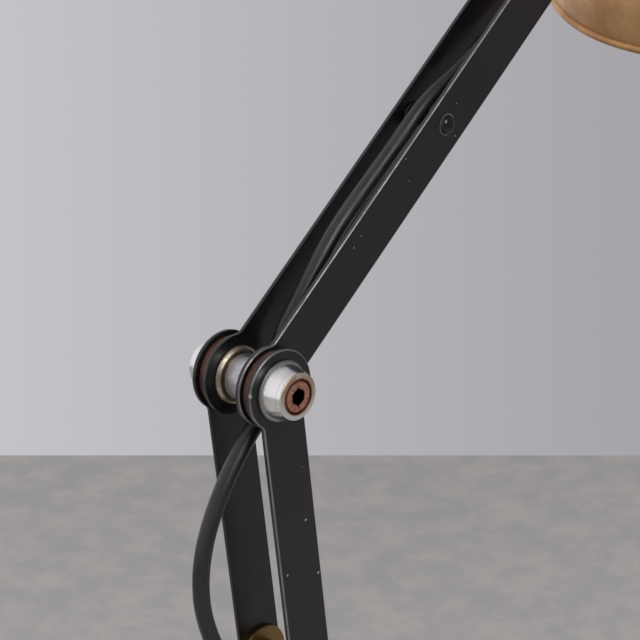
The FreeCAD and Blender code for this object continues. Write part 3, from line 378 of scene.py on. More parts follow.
plug = lathe([(0, 0), (5.0, 0, 0.5), (6.0, 10.0, 1.0), (13.0, 20.0, 3.0), (15.0, PLUG_LENGTH, 1.5),
              (0, PLUG_LENGTH)], 64)
placed(plug, PLUG_ENTRY, (1, 0, 0))
for way in (1, -1):
    flat = Vector((0, 0, PLUG_ENTRY[2] + way * PLUG_HALF_THICKNESS)) * MM
    cut = bmesh.ops.bisect_plane(plug, geom=plug.verts[:] + plug.edges[:] + plug.faces[:], dist=1e-7,
                                 plane_co=flat, plane_no=(0, 0, way), clear_outer=True)
    rim = [e for e in cut["geom_cut"] if isinstance(e, bmesh.types.BMEdge)]
    bmesh.ops.contextual_create(plug, geom=rim)
    bmesh.ops.bevel(plug, geom=rim, offset=0.8 * MM, segments=3, profile=0.5, affect="EDGES", material=-1,
                    clamp_overlap=True)
plug = piece("plug", plug, black_plastic, "base", "black_plastic", "plug_body")

pin_brass = plain_metal("pin_brass", (0.72, 0.62, 0.42), 0.25)
pins = []
for way in (-1, 1):
    pin = lathe([(0, PLUG_LENGTH - 1.0), (PIN_RADIUS, PLUG_LENGTH - 1.0), (PIN_RADIUS, PLUG_LENGTH + PIN_LENGTH, 1.3),
                 (0, PLUG_LENGTH + PIN_LENGTH)], 32)
    pins.append(placed(pin, (PLUG_ENTRY[0], PLUG_ENTRY[1] + way * PIN_SPACING / 2, PLUG_ENTRY[2]), (1, 0, 0)))
pins = piece("plug_contacts", joined(pins), pin_brass, "base", "pin_brass", "plug_pins")

# ---------------------------------------------------------------- arm bars
# Flat steel bars, blanked with round eyes at their ends and enamelled black. The lower arm's two bars are
# outside the upper arm's, and the post carries two short ears as far apart as the upper arm's bars.

ARM_LENGTH = 300.0
BAR_WIDTH = 15.5
BAR_THICKNESS = 1.5
ROLLED_EDGE = 0.55
RIM_ROUNDING = 0.2
EYE_RADIUS = 11.8
NECK_ROUNDING = 0.92
SCREW_HOLE = 3.05
RIVET_HOLE = 2.02
LOWER_ANGLE = 97.49
UPPER_ANGLE = 40.86
INNER_FACE = 6.0
OUTER_FACE = 10.5
SPACER_PLACES = (95.0, 205.0)
SIDES = (("near", -1), ("far", 1))
SHOULDER = Vector((0, 0, 74.0))


def heading(angle):
    """The way that lies at this angle above +X."""
    return Vector((math.cos(math.radians(angle)), 0, math.sin(math.radians(angle))))


ELBOW = SHOULDER + heading(LOWER_ANGLE) * ARM_LENGTH
HEAD_PIVOT = ELBOW + heading(UPPER_ANGLE) * ARM_LENGTH


def swing(bm, point, centre, degrees, steps):
    """Draws an arc in the XZ plane from a point, turning from X to Z, and returns its last point."""
    made = bmesh.ops.spin(bm, geom=[point], cent=Vector(centre) * MM, axis=(0, -1, 0), dvec=(0, 0, 0),
                          angle=math.radians(degrees), steps=steps, use_merge=False)
    return next(v for v in made["geom_last"] if isinstance(v, bmesh.types.BMVert))


def bar(length, far_eye, holes, outward):
    """A bar along X from y = 0, with an eye at the origin and perhaps one at its end. Its outline is rolled over
    on the outward face, where the enamel wears thin, and the other rims are only broken."""
    bm = bmesh.new()
    half = BAR_WIDTH / 2
    neck = math.sqrt(EYE_RADIUS**2 - half**2)
    sweep = 360 - 2 * math.degrees(math.atan2(half, neck))
    first = bm.verts.new((neck * MM, 0, half * MM))
    second = swing(bm, first, (0, 0, 0), sweep, 56)
    if far_eye:
        third = bm.verts.new(((length - neck) * MM, 0, -half * MM))
        fourth = swing(bm, third, (length, 0, 0), sweep, 56)
        necks = [first, second, third, fourth]
    else:
        third = bm.verts.new((length * MM, 0, -half * MM))
        fourth = bm.verts.new((length * MM, 0, half * MM))
        bm.edges.new((third, fourth))
        necks = [first, second]
    bm.edges.new((second, third))
    bm.edges.new((fourth, first))
    bmesh.ops.bevel(bm, geom=necks, offset=NECK_ROUNDING * MM, segments=4, profile=0.5,
                    affect="VERTICES", material=-1)
    for x, z, radius in holes:
        flat = Matrix.Translation(Vector((x, 0, z)) * MM) @ Matrix.Rotation(math.pi / 2, 4, "X")
        bmesh.ops.create_circle(bm, cap_ends=False, radius=radius * MM, segments=40, matrix=flat)
    bmesh.ops.triangle_fill(bm, use_beauty=True, use_dissolve=False, edges=bm.edges[:])
    raised = bmesh.ops.extrude_face_region(bm, geom=bm.faces[:] + bm.edges[:] + bm.verts[:],
                                           use_keep_orig=True)["geom"]
    top = [v for v in raised if isinstance(v, bmesh.types.BMVert)]
    bmesh.ops.translate(bm, vec=(0, BAR_THICKNESS * MM, 0), verts=top)
    bmesh.ops.recalc_face_normals(bm, faces=bm.faces[:])
    outer_y = BAR_THICKNESS * MM if outward > 0 else 0.0
    rims = [e for e in bm.edges if e.calc_face_angle(0) > math.radians(60)
            and abs(e.verts[0].co.y - e.verts[1].co.y) < 1e-6]
    in_hole = {v for x, z, radius in holes for v in bm.verts
               if math.hypot(v.co.x / MM - x, v.co.z / MM - z) < radius + 0.05}
    rolled = [e for e in rims if abs(e.verts[0].co.y - outer_y) < 1e-6 and not in_hole.intersection(e.verts)]
    others = [e for e in rims if e not in rolled]
    rounded = bmesh.ops.bevel(bm, geom=rolled, offset=ROLLED_EDGE * MM, segments=5, profile=0.5, affect="EDGES",
                              material=-1, clamp_overlap=True)["faces"]
    bmesh.ops.bevel(bm, geom=[e for e in others if e.is_valid], offset=RIM_ROUNDING * MM, segments=2, profile=0.5,
                    affect="EDGES", material=-1, clamp_overlap=True)
    worn = bm.verts.layers.float.new("worn")
    narrow = {face for face in rounded if face.is_valid}
    for vert in {v for face in narrow for v in face.verts}:
        if all(face in narrow for face in vert.link_faces):
            vert[worn] = 1.0
    return bm


PAINT_RING = 3.05


def bar_enamel(name, joint, angle, chips, rings, outer):
    """Black enamel on a bar: its rims worn thin, small chips, and broken rings round the rivet heads."""
    material, tree, shader = surface(name, (0.0035, 0.0032, 0.0036), roughness=0.34, ior=1.58)
    where = from_centre(tree, joint, angle)
    cloud = fade(tree, noise(tree, where, 45.0, 3.0), 0.42, 0.62)
    colour = mixed(tree, cloud, (0.0032, 0.003, 0.0038), (0.0062, 0.0034, 0.005))
    dust = fade(tree, noise(tree, where, 0.55, 2.0, 0.75), 0.67, 0.76)
    colour = mixed(tree, maths(tree, "MULTIPLY", dust, 0.16), colour, (0.13, 0.12, 0.12))
    worn = add(tree, "Attribute", attribute_name="worn").outputs["Fac"]
    ragged = noise(tree, where, 7.0, 5.0, 0.7)
    thin = maths(tree, "MULTIPLY", fade(tree, worn, 0.5, 1.0), fade(tree, ragged, 0.3, 0.62, 0.4, 0.9))
    colour = mixed(tree, thin, colour, (0.3, 0.29, 0.29))
    bare = 0.0
    for along, across, size in chips:
        spot = (along * MM, outer * MM, across * MM)
        point = add(tree, "VectorMath", {0: where, 1: spot}, operation="DISTANCE")
        near = maths(tree, "DIVIDE", point.outputs["Value"], size * MM)
        near = maths(tree, "ADD", near, fade(tree, noise(tree, where, 0.5, 3.0), 0.2, 0.8, -0.35, 0.35))
        bare = maths(tree, "MAXIMUM", bare, fade(tree, near, 0.9, 0.75))
    colour = mixed(tree, bare, colour, (0.42, 0.37, 0.33))
    ring = 0.0
    for along in rings:
        point = add(tree, "VectorMath", {0: where, 1: (along * MM, outer * MM, 0)}, operation="DISTANCE")
        off = maths(tree, "ABSOLUTE", maths(tree, "SUBTRACT", point.outputs["Value"], PAINT_RING * MM))
        ring = maths(tree, "MAXIMUM", ring, fade(tree, off, 0.32 * MM, 0.12 * MM))
    broken = maths(tree, "MULTIPLY", ring, fade(tree, noise(tree, where, 1.6, 4.0, 0.7), 0.36, 0.5))
    colour = mixed(tree, maths(tree, "MULTIPLY", broken, 0.7), colour, (0.2, 0.17, 0.16))
    grain = maths(tree, "ADD", noise(tree, where, 1.5, 2.0), maths(tree, "MULTIPLY", dust, 0.6))
    paint(tree, shader, base_color=colour, normal=relief(tree, grain, 0.02),
          metallic=maths(tree, "MULTIPLY", thin, 0.9),
          roughness=fade(tree, noise(tree, where, 8.0, 4.0, 0.6), 0.3, 0.7, 0.28, 0.4))
    return material


def lay_flat(bm, way, inner_side, joint, angle):
    """Moves a bar from y = 0 to its side of the arm, and turns it from X to the arm's angle at its joint."""
    start = inner_side if way > 0 else -inner_side - BAR_THICKNESS
    bmesh.ops.translate(bm, vec=(0, start * MM, 0), verts=bm.verts[:])
    matrix = Matrix.Translation(joint * MM) @ Matrix.Rotation(-math.radians(angle), 4, "Y")
    bmesh.ops.transform(bm, matrix=matrix, verts=bm.verts[:])


eyes = [(0, 0, SCREW_HOLE), (ARM_LENGTH, 0, SCREW_HOLE)]
rivet_holes = [(x, 0, RIVET_HOLE) for x in SPACER_PLACES]
LOWER_CHIPS = [(256.8, -3.8, 0.45), (237.8, -6.4, 0.45), (242.8, 5.5, 0.35), (273.8, -4.6, 0.22),
               (302.9, 11.3, 0.8)]
UPPER_CHIPS = [(50.8, 3.6, 0.2), (46.7, 3.2, 0.2), (77.2, 6.1, 0.25), (73.8, 0.0, 0.18), (101.7, 1.8, 0.2),
               (95.1, -5.4, 0.22)]
for arm, joint, angle, inner_side, chips in (("lower_arm", SHOULDER, LOWER_ANGLE, OUTER_FACE, LOWER_CHIPS),
                                             ("upper_arm", ELBOW, UPPER_ANGLE, INNER_FACE, UPPER_CHIPS)):
    for side, way in SIDES:
        flat = bar(ARM_LENGTH, far_eye=True, holes=eyes + rivet_holes, outward=way)
        lay_flat(flat, way, inner_side, joint, angle)
        outer = way * (inner_side + BAR_THICKNESS)
        finish = bar_enamel(f"{arm}_{side}_enamel", joint, angle, chips if way < 0 else [], SPACER_PLACES, outer)
        piece(f"{arm}_{side}_bar", flat, finish, arm, "bar_enamel", f"{arm}_bar_{side}")

EAR_LENGTH = 45.0
EAR_ANGLE = -90.0
EAR_RIVET_SPREAD = 5.4
EAR_RIVET_HEIGHT = 34.0
EAR_RIVET_HOLE = 1.27
ear_rivets_down = SHOULDER.z - EAR_RIVET_HEIGHT
ear_holes = [(0, 0, SCREW_HOLE)] + [(ear_rivets_down, way * EAR_RIVET_SPREAD, EAR_RIVET_HOLE) for way in (-1, 1)]
for side, way in SIDES:
    ear = bar(EAR_LENGTH, far_eye=False, holes=ear_holes, outward=way)
    lay_flat(ear, way, INNER_FACE, SHOULDER, EAR_ANGLE)
    outer = way * (INNER_FACE + BAR_THICKNESS)
    finish = bar_enamel(f"swivel_ear_{side}_enamel", SHOULDER, EAR_ANGLE, [], [], outer)
    piece(f"swivel_{side}_ear", ear, finish, "swivel", "bar_enamel", f"swivel_ear_{side}")

# ---------------------------------------------------------------- spacers and rivets
# Tubes with a flange at each end keep the bars apart. A steel rivet through each is domed over on both bars.
# The lower arm's spacers are brass, and the upper arm's are enamelled with the bars.


def both_ends(half):
    """A turned profile and its mirror image past the mid plane."""
    return half + [(p[0], -p[1], *p[2:]) for p in reversed(half)]


def rivets(places, half_span, radius, head_radius, head_height):
    """Through rivets along Y with a domed head at each end, as one shape."""
    top = half_span + head_height
    half = [(0, top), (head_radius * 0.78, top, head_height * 0.88), (head_radius, half_span), (radius, half_span)]
    return joined([placed(lathe(both_ends(half), 40), place, (0, 1, 0)) for place in places])


rivet_gloss = enamel("rivet_enamel", (0.003, 0.003, 0.0032), (0.005, 0.004, 0.004), 0.12)
spacer_brass = plain_metal("spacer_brass", (0.3, 0.19, 0.08), 0.42)
spacer_enamel = enamel("spacer_enamel", (0.005, 0.0045, 0.0045), (0.014, 0.009, 0.007), 0.42)
for arm, joint, angle, face, tube, flange, thick, finish, slot in (
        ("lower_arm", SHOULDER, LOWER_ANGLE, OUTER_FACE, 4.0, 8.4, 1.5, spacer_brass, "spacer_brass"),
        ("upper_arm", ELBOW, UPPER_ANGLE, INNER_FACE, 2.75, 4.5, 0.8, spacer_enamel, "spacer_enamel")):
    places = [joint + heading(angle) * x for x in SPACER_PLACES]
    for count, place in enumerate(places, 1):
        shape = lathe(both_ends([(RIVET_HOLE, face), (flange, face, 0.3), (flange, face - thick, 0.3),
                                 (tube, face - thick)]), 64)
        piece(f"{arm}_spacer_tube_{count}", placed(shape, place, (0, 1, 0)), finish, arm, slot,
              f"{arm}_spacer_{count}")
    pins = rivets(places, face + BAR_THICKNESS, radius=2.0, head_radius=2.9, head_height=1.6)
    piece(f"{arm}_domed_rivets", pins, rivet_gloss, arm, "rivet_enamel", f"{arm}_rivets")
ear_places = [(way * EAR_RIVET_SPREAD, 0, EAR_RIVET_HEIGHT) for way in (-1, 1)]
pins = rivets(ear_places, INNER_FACE + BAR_THICKNESS, radius=1.25, head_radius=2.2, head_height=1.1)
piece("swivel_domed_rivets", pins, rivet_gloss, "swivel", "rivet_enamel", "swivel_ear_rivets")

# ---------------------------------------------------------------- friction joints
# At each joint a turned spool keeps the inner bars apart, fibre washers rub between the bars, and two turned
# aluminium cones are drawn together by rusty M6 socket screws.

BORE = 3.02
SPOOL_SHAPE = [(BORE, INNER_FACE), (8.57, INNER_FACE, 0.3), (8.57, 5.3, 0.3), (7.67, 4.5, 0.1), (6.4, 4.5),
               (6.4, 3.9), (6.8, 3.7)]
CONE_LENGTH = 6.9
CONE_RIM_RADIUS = 8.85
CONE_FACE_RADIUS = 6.75
HEAD_POCKET = 5.02
SCREW_HEAD = 5.0
SOCKET_DEPTH = 3.0
HEXAGON = 4.4
WASHER_RADIUS = 10.5


def turned_metal(name, centre, stain_from):
    """Turned aluminium: rings round the axis, a base rim painted dark grey and dull as painted shade and a painted
    reflection of the black bar beside it, and a rust stain spread from the screw.
    """
    material, tree, shader = surface(name, (0.86, 0.86, 0.85), metallic=1.0, roughness=0.26)
    where = from_centre(tree, centre)
    split = add(tree, "SeparateXYZ", {0: where}).outputs
    radius = from_axis(tree, split[0], split[2])
    rings = add(tree, "CombineXYZ", {0: radius, 1: split[1], 2: 0.0}).outputs[0]
    coarse = noise(tree, rings, 0.7, 3.0, 0.6)
    fine = noise(tree, rings, 0.12, 2.0)
    cloud = noise(tree, where, 4.0, 4.0, 0.6)
    colour = mixed(tree, fade(tree, coarse, 0.35, 0.7), (0.9, 0.9, 0.88), (0.76, 0.76, 0.74))
    colour = mixed(tree, fade(tree, cloud, 0.52, 0.74, 0.0, 0.35), colour, (0.6, 0.58, 0.54))
    out = maths(tree, "ABSOLUTE", split[1])
    face = fade(tree, out, (stain_from - 0.5) * MM, (stain_from - 0.15) * MM)
    above = fade(tree, split[2], -5.0 * MM, 3.5 * MM)
    patchy = fade(tree, noise(tree, where, 2.2, 5.0, 0.65), 0.3, 0.52, 0.35, 1.0)
    stain = maths(tree, "MULTIPLY", face, maths(tree, "MULTIPLY", above, patchy))
    colour = mixed(tree, maths(tree, "MULTIPLY", stain, 0.8), colour, (0.5, 0.33, 0.2))
    round_head = fade(tree, radius, 5.7 * MM, 5.0 * MM)
    colour = mixed(tree, maths(tree, "MULTIPLY", face, round_head), colour, (0.3, 0.12, 0.04))
    # Painted shade and painted reflection: the base rim is painted dark grey where it stands against the black bar.
    rim = fade(tree, out, (stain_from - CONE_LENGTH + 1.1) * MM, (stain_from - CONE_LENGTH + 0.9) * MM)
    colour = mixed(tree, rim, colour, (0.27, 0.265, 0.25))
    rough = fade(tree, cloud, 0.3, 0.7, 0.17, 0.3)
    rough = maths(tree, "ADD", rough, maths(tree, "MULTIPLY", maths(tree, "MAXIMUM", face, rim), 0.22))
    height = maths(tree, "ADD", coarse, maths(tree, "MULTIPLY", fine, 0.35))
    paint(tree, shader, base_color=colour, roughness=rough, normal=relief(tree, height, 0.03))
    return material


def aged_spool(name, centre):
    """The spool: satin grey barrel, brown in its grooves, and rims gone to a yellowish tan."""
    material, tree, shader = surface(name, (0.6, 0.6, 0.6), metallic=1.0, roughness=0.4)
    where = from_centre(tree, centre)
    split = add(tree, "SeparateXYZ", {0: where}).outputs
    out = maths(tree, "ABSOLUTE", split[1])
    cloud = noise(tree, where, 3.0, 5.0, 0.65)
    barrel = mixed(tree, fade(tree, cloud, 0.4, 0.7), (0.66, 0.66, 0.67), (0.5, 0.49, 0.48))
    tan = mixed(tree, fade(tree, cloud, 0.35, 0.65), (0.5, 0.46, 0.38), (0.3, 0.25, 0.18))
    colour = mixed(tree, fade(tree, out, 3.6 * MM, 3.8 * MM), barrel, (0.2, 0.12, 0.07))
    colour = mixed(tree, fade(tree, out, 4.4 * MM, 4.55 * MM), colour, tan)
    scratches = noise(tree, where, 0.9, 4.0, 0.6, stretch=(1.0, 0.25, 1.0))
    paint(tree, shader, base_color=colour, normal=relief(tree, scratches, 0.03),
          roughness=fade(tree, cloud, 0.3, 0.7, 0.3, 0.48))
    return material


def fibre(name, colour):
    """Vulcanised fibre: reddish brown, matt, with short fibres and darker patches."""
    material, tree, shader = surface(name, colour, roughness=0.48)
    where = from_centre(tree)
    fibres = noise(tree, where, 0.5, 5.0, 0.7, stretch=(1.0, 3.0, 1.0))
    patches = noise(tree, where, 5.0, 4.0, 0.6)
    darker = tuple(c * 0.35 for c in colour)
    lighter = tuple(min(1.0, c * 1.5) for c in colour)
    base = mixed(tree, fade(tree, patches, 0.35, 0.65), colour, darker)
    paint(tree, shader, base_color=mixed(tree, fade(tree, fibres, 0.5, 0.7, 0.0, 0.7), base, lighter),
          normal=relief(tree, fibres, 0.05))
    return material


def rust(name, centre):
    """A rusty screw head: pinkish brown scale, dark orange at its edge, and painted shade that makes it nearly black
    in its socket.
    """
    material, tree, shader = surface(name, (0.25, 0.12, 0.08), roughness=0.75, metallic=0.2)
    where = from_centre(tree, centre)
    split = add(tree, "SeparateXYZ", {0: where}).outputs
    radius = from_axis(tree, split[0], split[2])
    scale = noise(tree, where, 1.1, 5.0, 0.7)
    colour = mixed(tree, fade(tree, scale, 0.35, 0.65), (0.4, 0.19, 0.135), (0.22, 0.09, 0.055))
    colour = mixed(tree, fade(tree, noise(tree, where, 0.6, 3.0), 0.6, 0.72, 0.0, 0.7), colour, (0.55, 0.42, 0.36))
    colour = mixed(tree, fade(tree, radius, 4.1 * MM, 4.45 * MM), colour, (0.1, 0.02, 0.004))
    # Painted shade: the hexagon socket is painted dark brown, nearly black.
    colour = mixed(tree, maths(tree, "MULTIPLY", fade(tree, radius, 2.75 * MM, 2.35 * MM), 0.8), colour,
                   (0.13, 0.035, 0.014))
    paint(tree, shader, base_color=colour, normal=relief(tree, scale, 0.12))
    return material


def screw(start, end):
    """A socket screw along Z: its head's face at end, its shank's point at start, and a hexagon socket."""
    under, top = end - SCREW_HEAD, end - 0.05
    bm = lathe([(3.7, top), (4.85, top, 0.7), (4.85, under), (3.0, under), (3.0, start, 0.5), (0, start)], 48)
    mouth = [e for e in bm.edges if e.is_boundary]
    made = bmesh.ops.create_circle(bm, cap_ends=False, radius=HEXAGON / 2 / math.cos(math.pi / 6) * MM, segments=6,
                                   matrix=Matrix.Translation((0, 0, top * MM)))
    sides = list({e for v in made["verts"] for e in v.link_edges})
    bmesh.ops.subdivide_edges(bm, edges=sides, cuts=7)
    hexagon = [e for e in bm.edges if not e.link_faces]
    bmesh.ops.bridge_loops(bm, edges=mouth + hexagon)
    hexagon = [e for e in bm.edges if e.is_boundary]
    wall = bmesh.ops.extrude_edge_only(bm, edges=hexagon)["geom"]
    bmesh.ops.translate(bm, vec=(0, 0, -SOCKET_DEPTH * MM),
                        verts=[v for v in wall if isinstance(v, bmesh.types.BMVert)])
    bmesh.ops.holes_fill(bm, edges=[e for e in bm.edges if e.is_boundary], sides=0)
    bmesh.ops.recalc_face_normals(bm, faces=bm.faces[:])
    return bm


washer_fibre = fibre("washer_fibre", (0.11, 0.038, 0.024))
inner_bars_end, outer_bars_end = INNER_FACE + BAR_THICKNESS, OUTER_FACE + BAR_THICKNESS
washer_shape = [(SCREW_HOLE, inner_bars_end), (WASHER_RADIUS, inner_bars_end, 0.5), (WASHER_RADIUS, OUTER_FACE, 0.5),
                (SCREW_HOLE, OUTER_FACE)]
# Each joint's centre, whether it has a spool and washers, and how far out its cones and its screws' points start.
joints = {
    "elbow": (ELBOW, True, outer_bars_end, 1.0),
    "shoulder": (SHOULDER, True, outer_bars_end, 1.0),
    "head": (HEAD_PIVOT, False, inner_bars_end, 0.2),
}
node_body = {n: b for b, names in frame["record"]["behaviour"]["bodies"].items() for n in names}
for joint, (centre, with_spool, cone_from, point) in joints.items():
    face = cone_from + CONE_LENGTH
    finish = turned_metal(f"{joint}_aluminium", centre, face)
    rusty = rust(f"{joint}_rust", centre)
    cone_shape = [(BORE, cone_from), (CONE_RIM_RADIUS, cone_from, 0.12),
                  (CONE_RIM_RADIUS, cone_from + 0.85, 0.25), (CONE_RIM_RADIUS - 0.8, cone_from + 1.0),
                  (CONE_FACE_RADIUS, face, 0.35), (HEAD_POCKET, face, 0.15), (HEAD_POCKET, face - SCREW_HEAD),
                  (BORE, face - SCREW_HEAD)]
    if with_spool:
        spool_finish = aged_spool(f"{joint}_spool_metal", centre)
        piece(f"{joint}_turned_spool", placed(lathe(both_ends(SPOOL_SHAPE)), centre, (0, 1, 0)), spool_finish,
              node_body[f"{joint}_spool"], "turned_aluminium", f"{joint}_spool")
    pair = []
    for side, way in SIDES:
        piece(f"{joint}_{side}_cone", placed(lathe(cone_shape), centre, (0, way, 0)), finish,
              node_body[f"{joint}_cone_{side}"], "turned_aluminium", f"{joint}_cone_{side}")
        if with_spool:
            piece(f"{joint}_{side}_washer", placed(lathe(washer_shape), centre, (0, way, 0)), washer_fibre,
                  node_body[f"{joint}_washer_{side}"], "fibre_washer", f"{joint}_washer_{side}")
        pair.append(placed(screw(point, face), centre, (0, way, 0)))
    piece(f"{joint}_socket_screws", joined(pair), rusty, node_body[f"{joint}_screws"], "rusty_screw",
          f"{joint}_screws")
dress(washer_fibre, "head_washers")

# ---------------------------------------------------------------- head
# The lug turns between the upper bars. Under it hang an enamelled cap over the lampholder, the threaded ring
# that clamps the shade, the spun brass shade itself with its rolled rim, and a round bulb.

HEAD_TILT = 20.0
DOWN_HEAD = heading(HEAD_TILT - 90)
TO_ARM = heading(HEAD_TILT + 180)
SHADE_TOP = 44.0
SHADE_RIM = 106.0
PLATE_RADIUS = 22.0
SHADE_BEND = 66.0
SHADE_WALL = 0.8
SHADE_HOLE = 13.52
BEAD = 1.4


def spun_brass(name, centre):
    """Lacquered brass spun on a lathe, with faint rings and cloudy tarnish, and white enamel inside."""
    material, tree, shader = surface(name, (0.52, 0.33, 0.15), metallic=1.0, roughness=0.4, coat_weight=0.3,
                                     coat_roughness=0.3)
    where = from_centre(tree, centre, HEAD_TILT)
    split = add(tree, "SeparateXYZ", {0: where}).outputs
    radius = from_axis(tree, split[0], split[1])
    rings = add(tree, "CombineXYZ", {0: radius, 1: 0.0, 2: split[2]}).outputs[0]
    lines = noise(tree, rings, 1.6, 4.0, 0.6)
    cloud = noise(tree, where, 28.0, 5.0, 0.6)
    colour = mixed(tree, fade(tree, cloud, 0.38, 0.66), (0.6, 0.36, 0.16), (0.42, 0.22, 0.085))
    outward = maths(tree, "MAXIMUM", maths(tree, "SUBTRACT", radius, PLATE_RADIUS * MM), 0.0)
    upward = maths(tree, "ADD", split[2], (SHADE_TOP + SHADE_BEND) * MM)
    inside = fade(tree, from_axis(tree, outward, upward), (SHADE_BEND - 0.35) * MM, (SHADE_BEND - 0.5) * MM)
    colour = mixed(tree, inside, colour, (0.78, 0.76, 0.7))
    paint(tree, shader, base_color=colour, normal=relief(tree, lines, 0.05),
          metallic=maths(tree, "SUBTRACT", 1.0, inside),
          roughness=fade(tree, maths(tree, "ADD", cloud, lines), 0.8, 1.2, 0.34, 0.5))
    return material


dress(black_enamel, "head_lug")
cap_enamel = enamel("cap_enamel", (0.013, 0.012, 0.0125), (0.02, 0.015, 0.015), 0.35)
dress(cap_enamel, "head_cap")
dress(plain_metal("bulb_brass", (0.7, 0.6, 0.38), 0.3), "bulb_cap")

bm = bmesh.new()
rise = math.degrees(math.asin((SHADE_BEND - (SHADE_RIM - SHADE_TOP)) / SHADE_BEND))
to_bead = math.degrees(2 * math.asin(BEAD / 2 / SHADE_BEND))
inner_bend = SHADE_BEND - SHADE_WALL
inner_stop = math.degrees(math.acos((SHADE_BEND**2 + inner_bend**2 - BEAD**2) / (2 * SHADE_BEND * inner_bend)))
crown = (PLATE_RADIUS, 0, -SHADE_TOP - SHADE_BEND)
start = bm.verts.new((SHADE_HOLE * MM, 0, -SHADE_TOP * MM))
plate_edge = bm.verts.new((PLATE_RADIUS * MM, 0, -SHADE_TOP * MM))
bm.edges.new((start, plate_edge))
outer_end = swing(bm, plate_edge, crown, -(90 - rise - to_bead), 40)
inner_start = bm.verts.new((PLATE_RADIUS * MM, 0, (-SHADE_TOP - SHADE_WALL) * MM))
inner_end = swing(bm, inner_start, crown, -(90 - rise - inner_stop), 40)
rim_angle = math.radians(rise)
bead_centre = Vector((PLATE_RADIUS + SHADE_BEND * math.cos(rim_angle), 0,
                      crown[2] + SHADE_BEND * math.sin(rim_angle)))
out_way, in_way = outer_end.co / MM - bead_centre, inner_end.co / MM - bead_centre
sweep = math.degrees(math.atan2(out_way.z, out_way.x) - math.atan2(in_way.z, in_way.x))
bead_end = swing(bm, outer_end, bead_centre, -(360 - abs(sweep)), 20)
bmesh.ops.remove_doubles(bm, verts=[bead_end, inner_end], dist=0.1 * MM)
last = bm.verts.new((SHADE_HOLE * MM, 0, (-SHADE_TOP - SHADE_WALL) * MM))
bm.edges.new((inner_start, last))
bm.edges.new((last, start))
shade = placed(spun(bm, 128), HEAD_PIVOT, -DOWN_HEAD)
shade_finish = spun_brass("shade_brass", HEAD_PIVOT)
piece("spun_shade", shade, shade_finish, "head", "shade_brass", "shade")

pearl, tree, shader = surface("pearl_glass", (0.93, 0.92, 0.9), roughness=0.35, transmission_weight=0.6, ior=1.45)
paint(tree, shader, normal=relief(tree, noise(tree, from_centre(tree), 1.2, 2.0), 0.01))
dress(pearl, "bulb_glass")

# ---------------------------------------------------------------- flex through the arms
# One round flex runs from the base to the head, between the bars of both arms and outside the elbow's spool.
# Each stretch is a piece: it rides on its arm, or, where it passes a joint, is left on no body.

UP_LEFT = {angle: heading(angle + 90) for angle in (LOWER_ANGLE, UPPER_ANGLE)}


def on_arm(joint, angle, places):
    """Points by how far they are along an arm and how far to its upper left."""
    return [joint + heading(angle) * s + UP_LEFT[angle] * offset for s, offset in places]


def beside(joint, places):
    """Points by how far they are from a joint, along X and Z."""
    return [joint + Vector((x, 0, z)) for x, z in places]


CAP_TOP, CAP_FLANK_END = 16.0, 27.0
CAP_TOP_RADIUS, CAP_RADIUS = 7.2, 17.0
flank_down, flank_across = CAP_FLANK_END - CAP_TOP, CAP_RADIUS - CAP_TOP_RADIUS
flank_normal = (TO_ARM * flank_down - DOWN_HEAD * flank_across).normalized()
grommet = HEAD_PIVOT + DOWN_HEAD * (CAP_TOP + flank_down / 2) + TO_ARM * (CAP_TOP_RADIUS + flank_across / 2)
stretches = {
    "flex_shoulder": beside(SHOULDER, [(0, -27.5), (-1.6, -21.5), (-7.2, -11.0), (-11.8, 4.0), (-11.9, 21.0)]),
    "flex_lower_arm": on_arm(SHOULDER, LOWER_ANGLE, [(54, 6.9), (74, 6.7), (96, 7.4), (118, 5.6), (140, 1.9),
                                                      (162, 0.9)]),
    "flex_elbow": on_arm(ELBOW, LOWER_ANGLE, [(-110, 7.4), (-96, 16.0), (-83, 23.6)])
    + beside(ELBOW, [(-19.4, -69.0), (-20.9, -56.0), (-18.6, -43.6), (-13.3, -32.4), (-6.4, -22.3), (1.4, -13.6),
                     (9.6, -6.6), (11.6, 1.0)])
    + on_arm(ELBOW, UPPER_ANGLE, [(14.5, 0.2), (24, 1.6)]),
    "flex_upper_arm": on_arm(ELBOW, UPPER_ANGLE, [(45, 5.6), (57, 6.0), (70, 5.6), (84, 5.2), (98, 5.4),
                                                   (113, 1.4), (130, -1.8), (152, -3.4), (178, -5.0),
                                                   (204, -6.0), (224, -5.4)]),
    "flex_head": beside(HEAD_PIVOT, [(-42.4, -39.6), (-30.2, -32.4), (-20.4, -24.6)])
    + [grommet + flank_normal * 8.0],
}
runs = list(stretches.values())
cuts = [(last[-1] + first[0]) / 2 for last, first in zip(runs, runs[1:])]
starts = [Vector((0, 0, 40.0)), *cuts]
ends = [*cuts, grommet - flank_normal * 1.2]
bends = {"flex_shoulder": ("swivel", "lower_arm"), "flex_elbow": ("lower_arm", "upper_arm"),
         "flex_head": ("upper_arm", "head")}
flex_sheath = sheath("flex_sheath", (0.008, 0.008, 0.0085), 0.3, (0.04, 0.034, 0.026))
for (name, own), start, end in zip(stretches.items(), starts, ends):
    points = [start, *own, end]
    if name == "flex_shoulder":
        points = [Vector((0, 0, 4.2)), Vector((0, 0, 22.0)), *points]
    made = smooth_lead(name + "_run", points, flex_sheath)
    if name in bends:
        mesh = bpy.data.meshes.new_from_object(made)
        bpy.data.objects.remove(made)
        made = shown(name + "_run", mesh)
        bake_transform(made)
    else:
        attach(made, name.replace("flex_", ""))
    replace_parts(made, name, *(["flex_in_post"] if name == "flex_shoulder" else []))

# ---------------------------------------------------------------- camera
# The photograph is a close view of the elbow from the near left, a little above it. The camera was found from
# the joint's own sizes: where it stands from the elbow, and the way it looks.

CAMERA_FROM_ELBOW = Vector((-355.94, -385.80, 201.81))
CAMERA_BACK = Vector((-0.66477, -0.66963, 0.33118)).normalized()
CAMERA_RIGHT = Vector((0.70968, -0.70452, 0.0)).normalized()

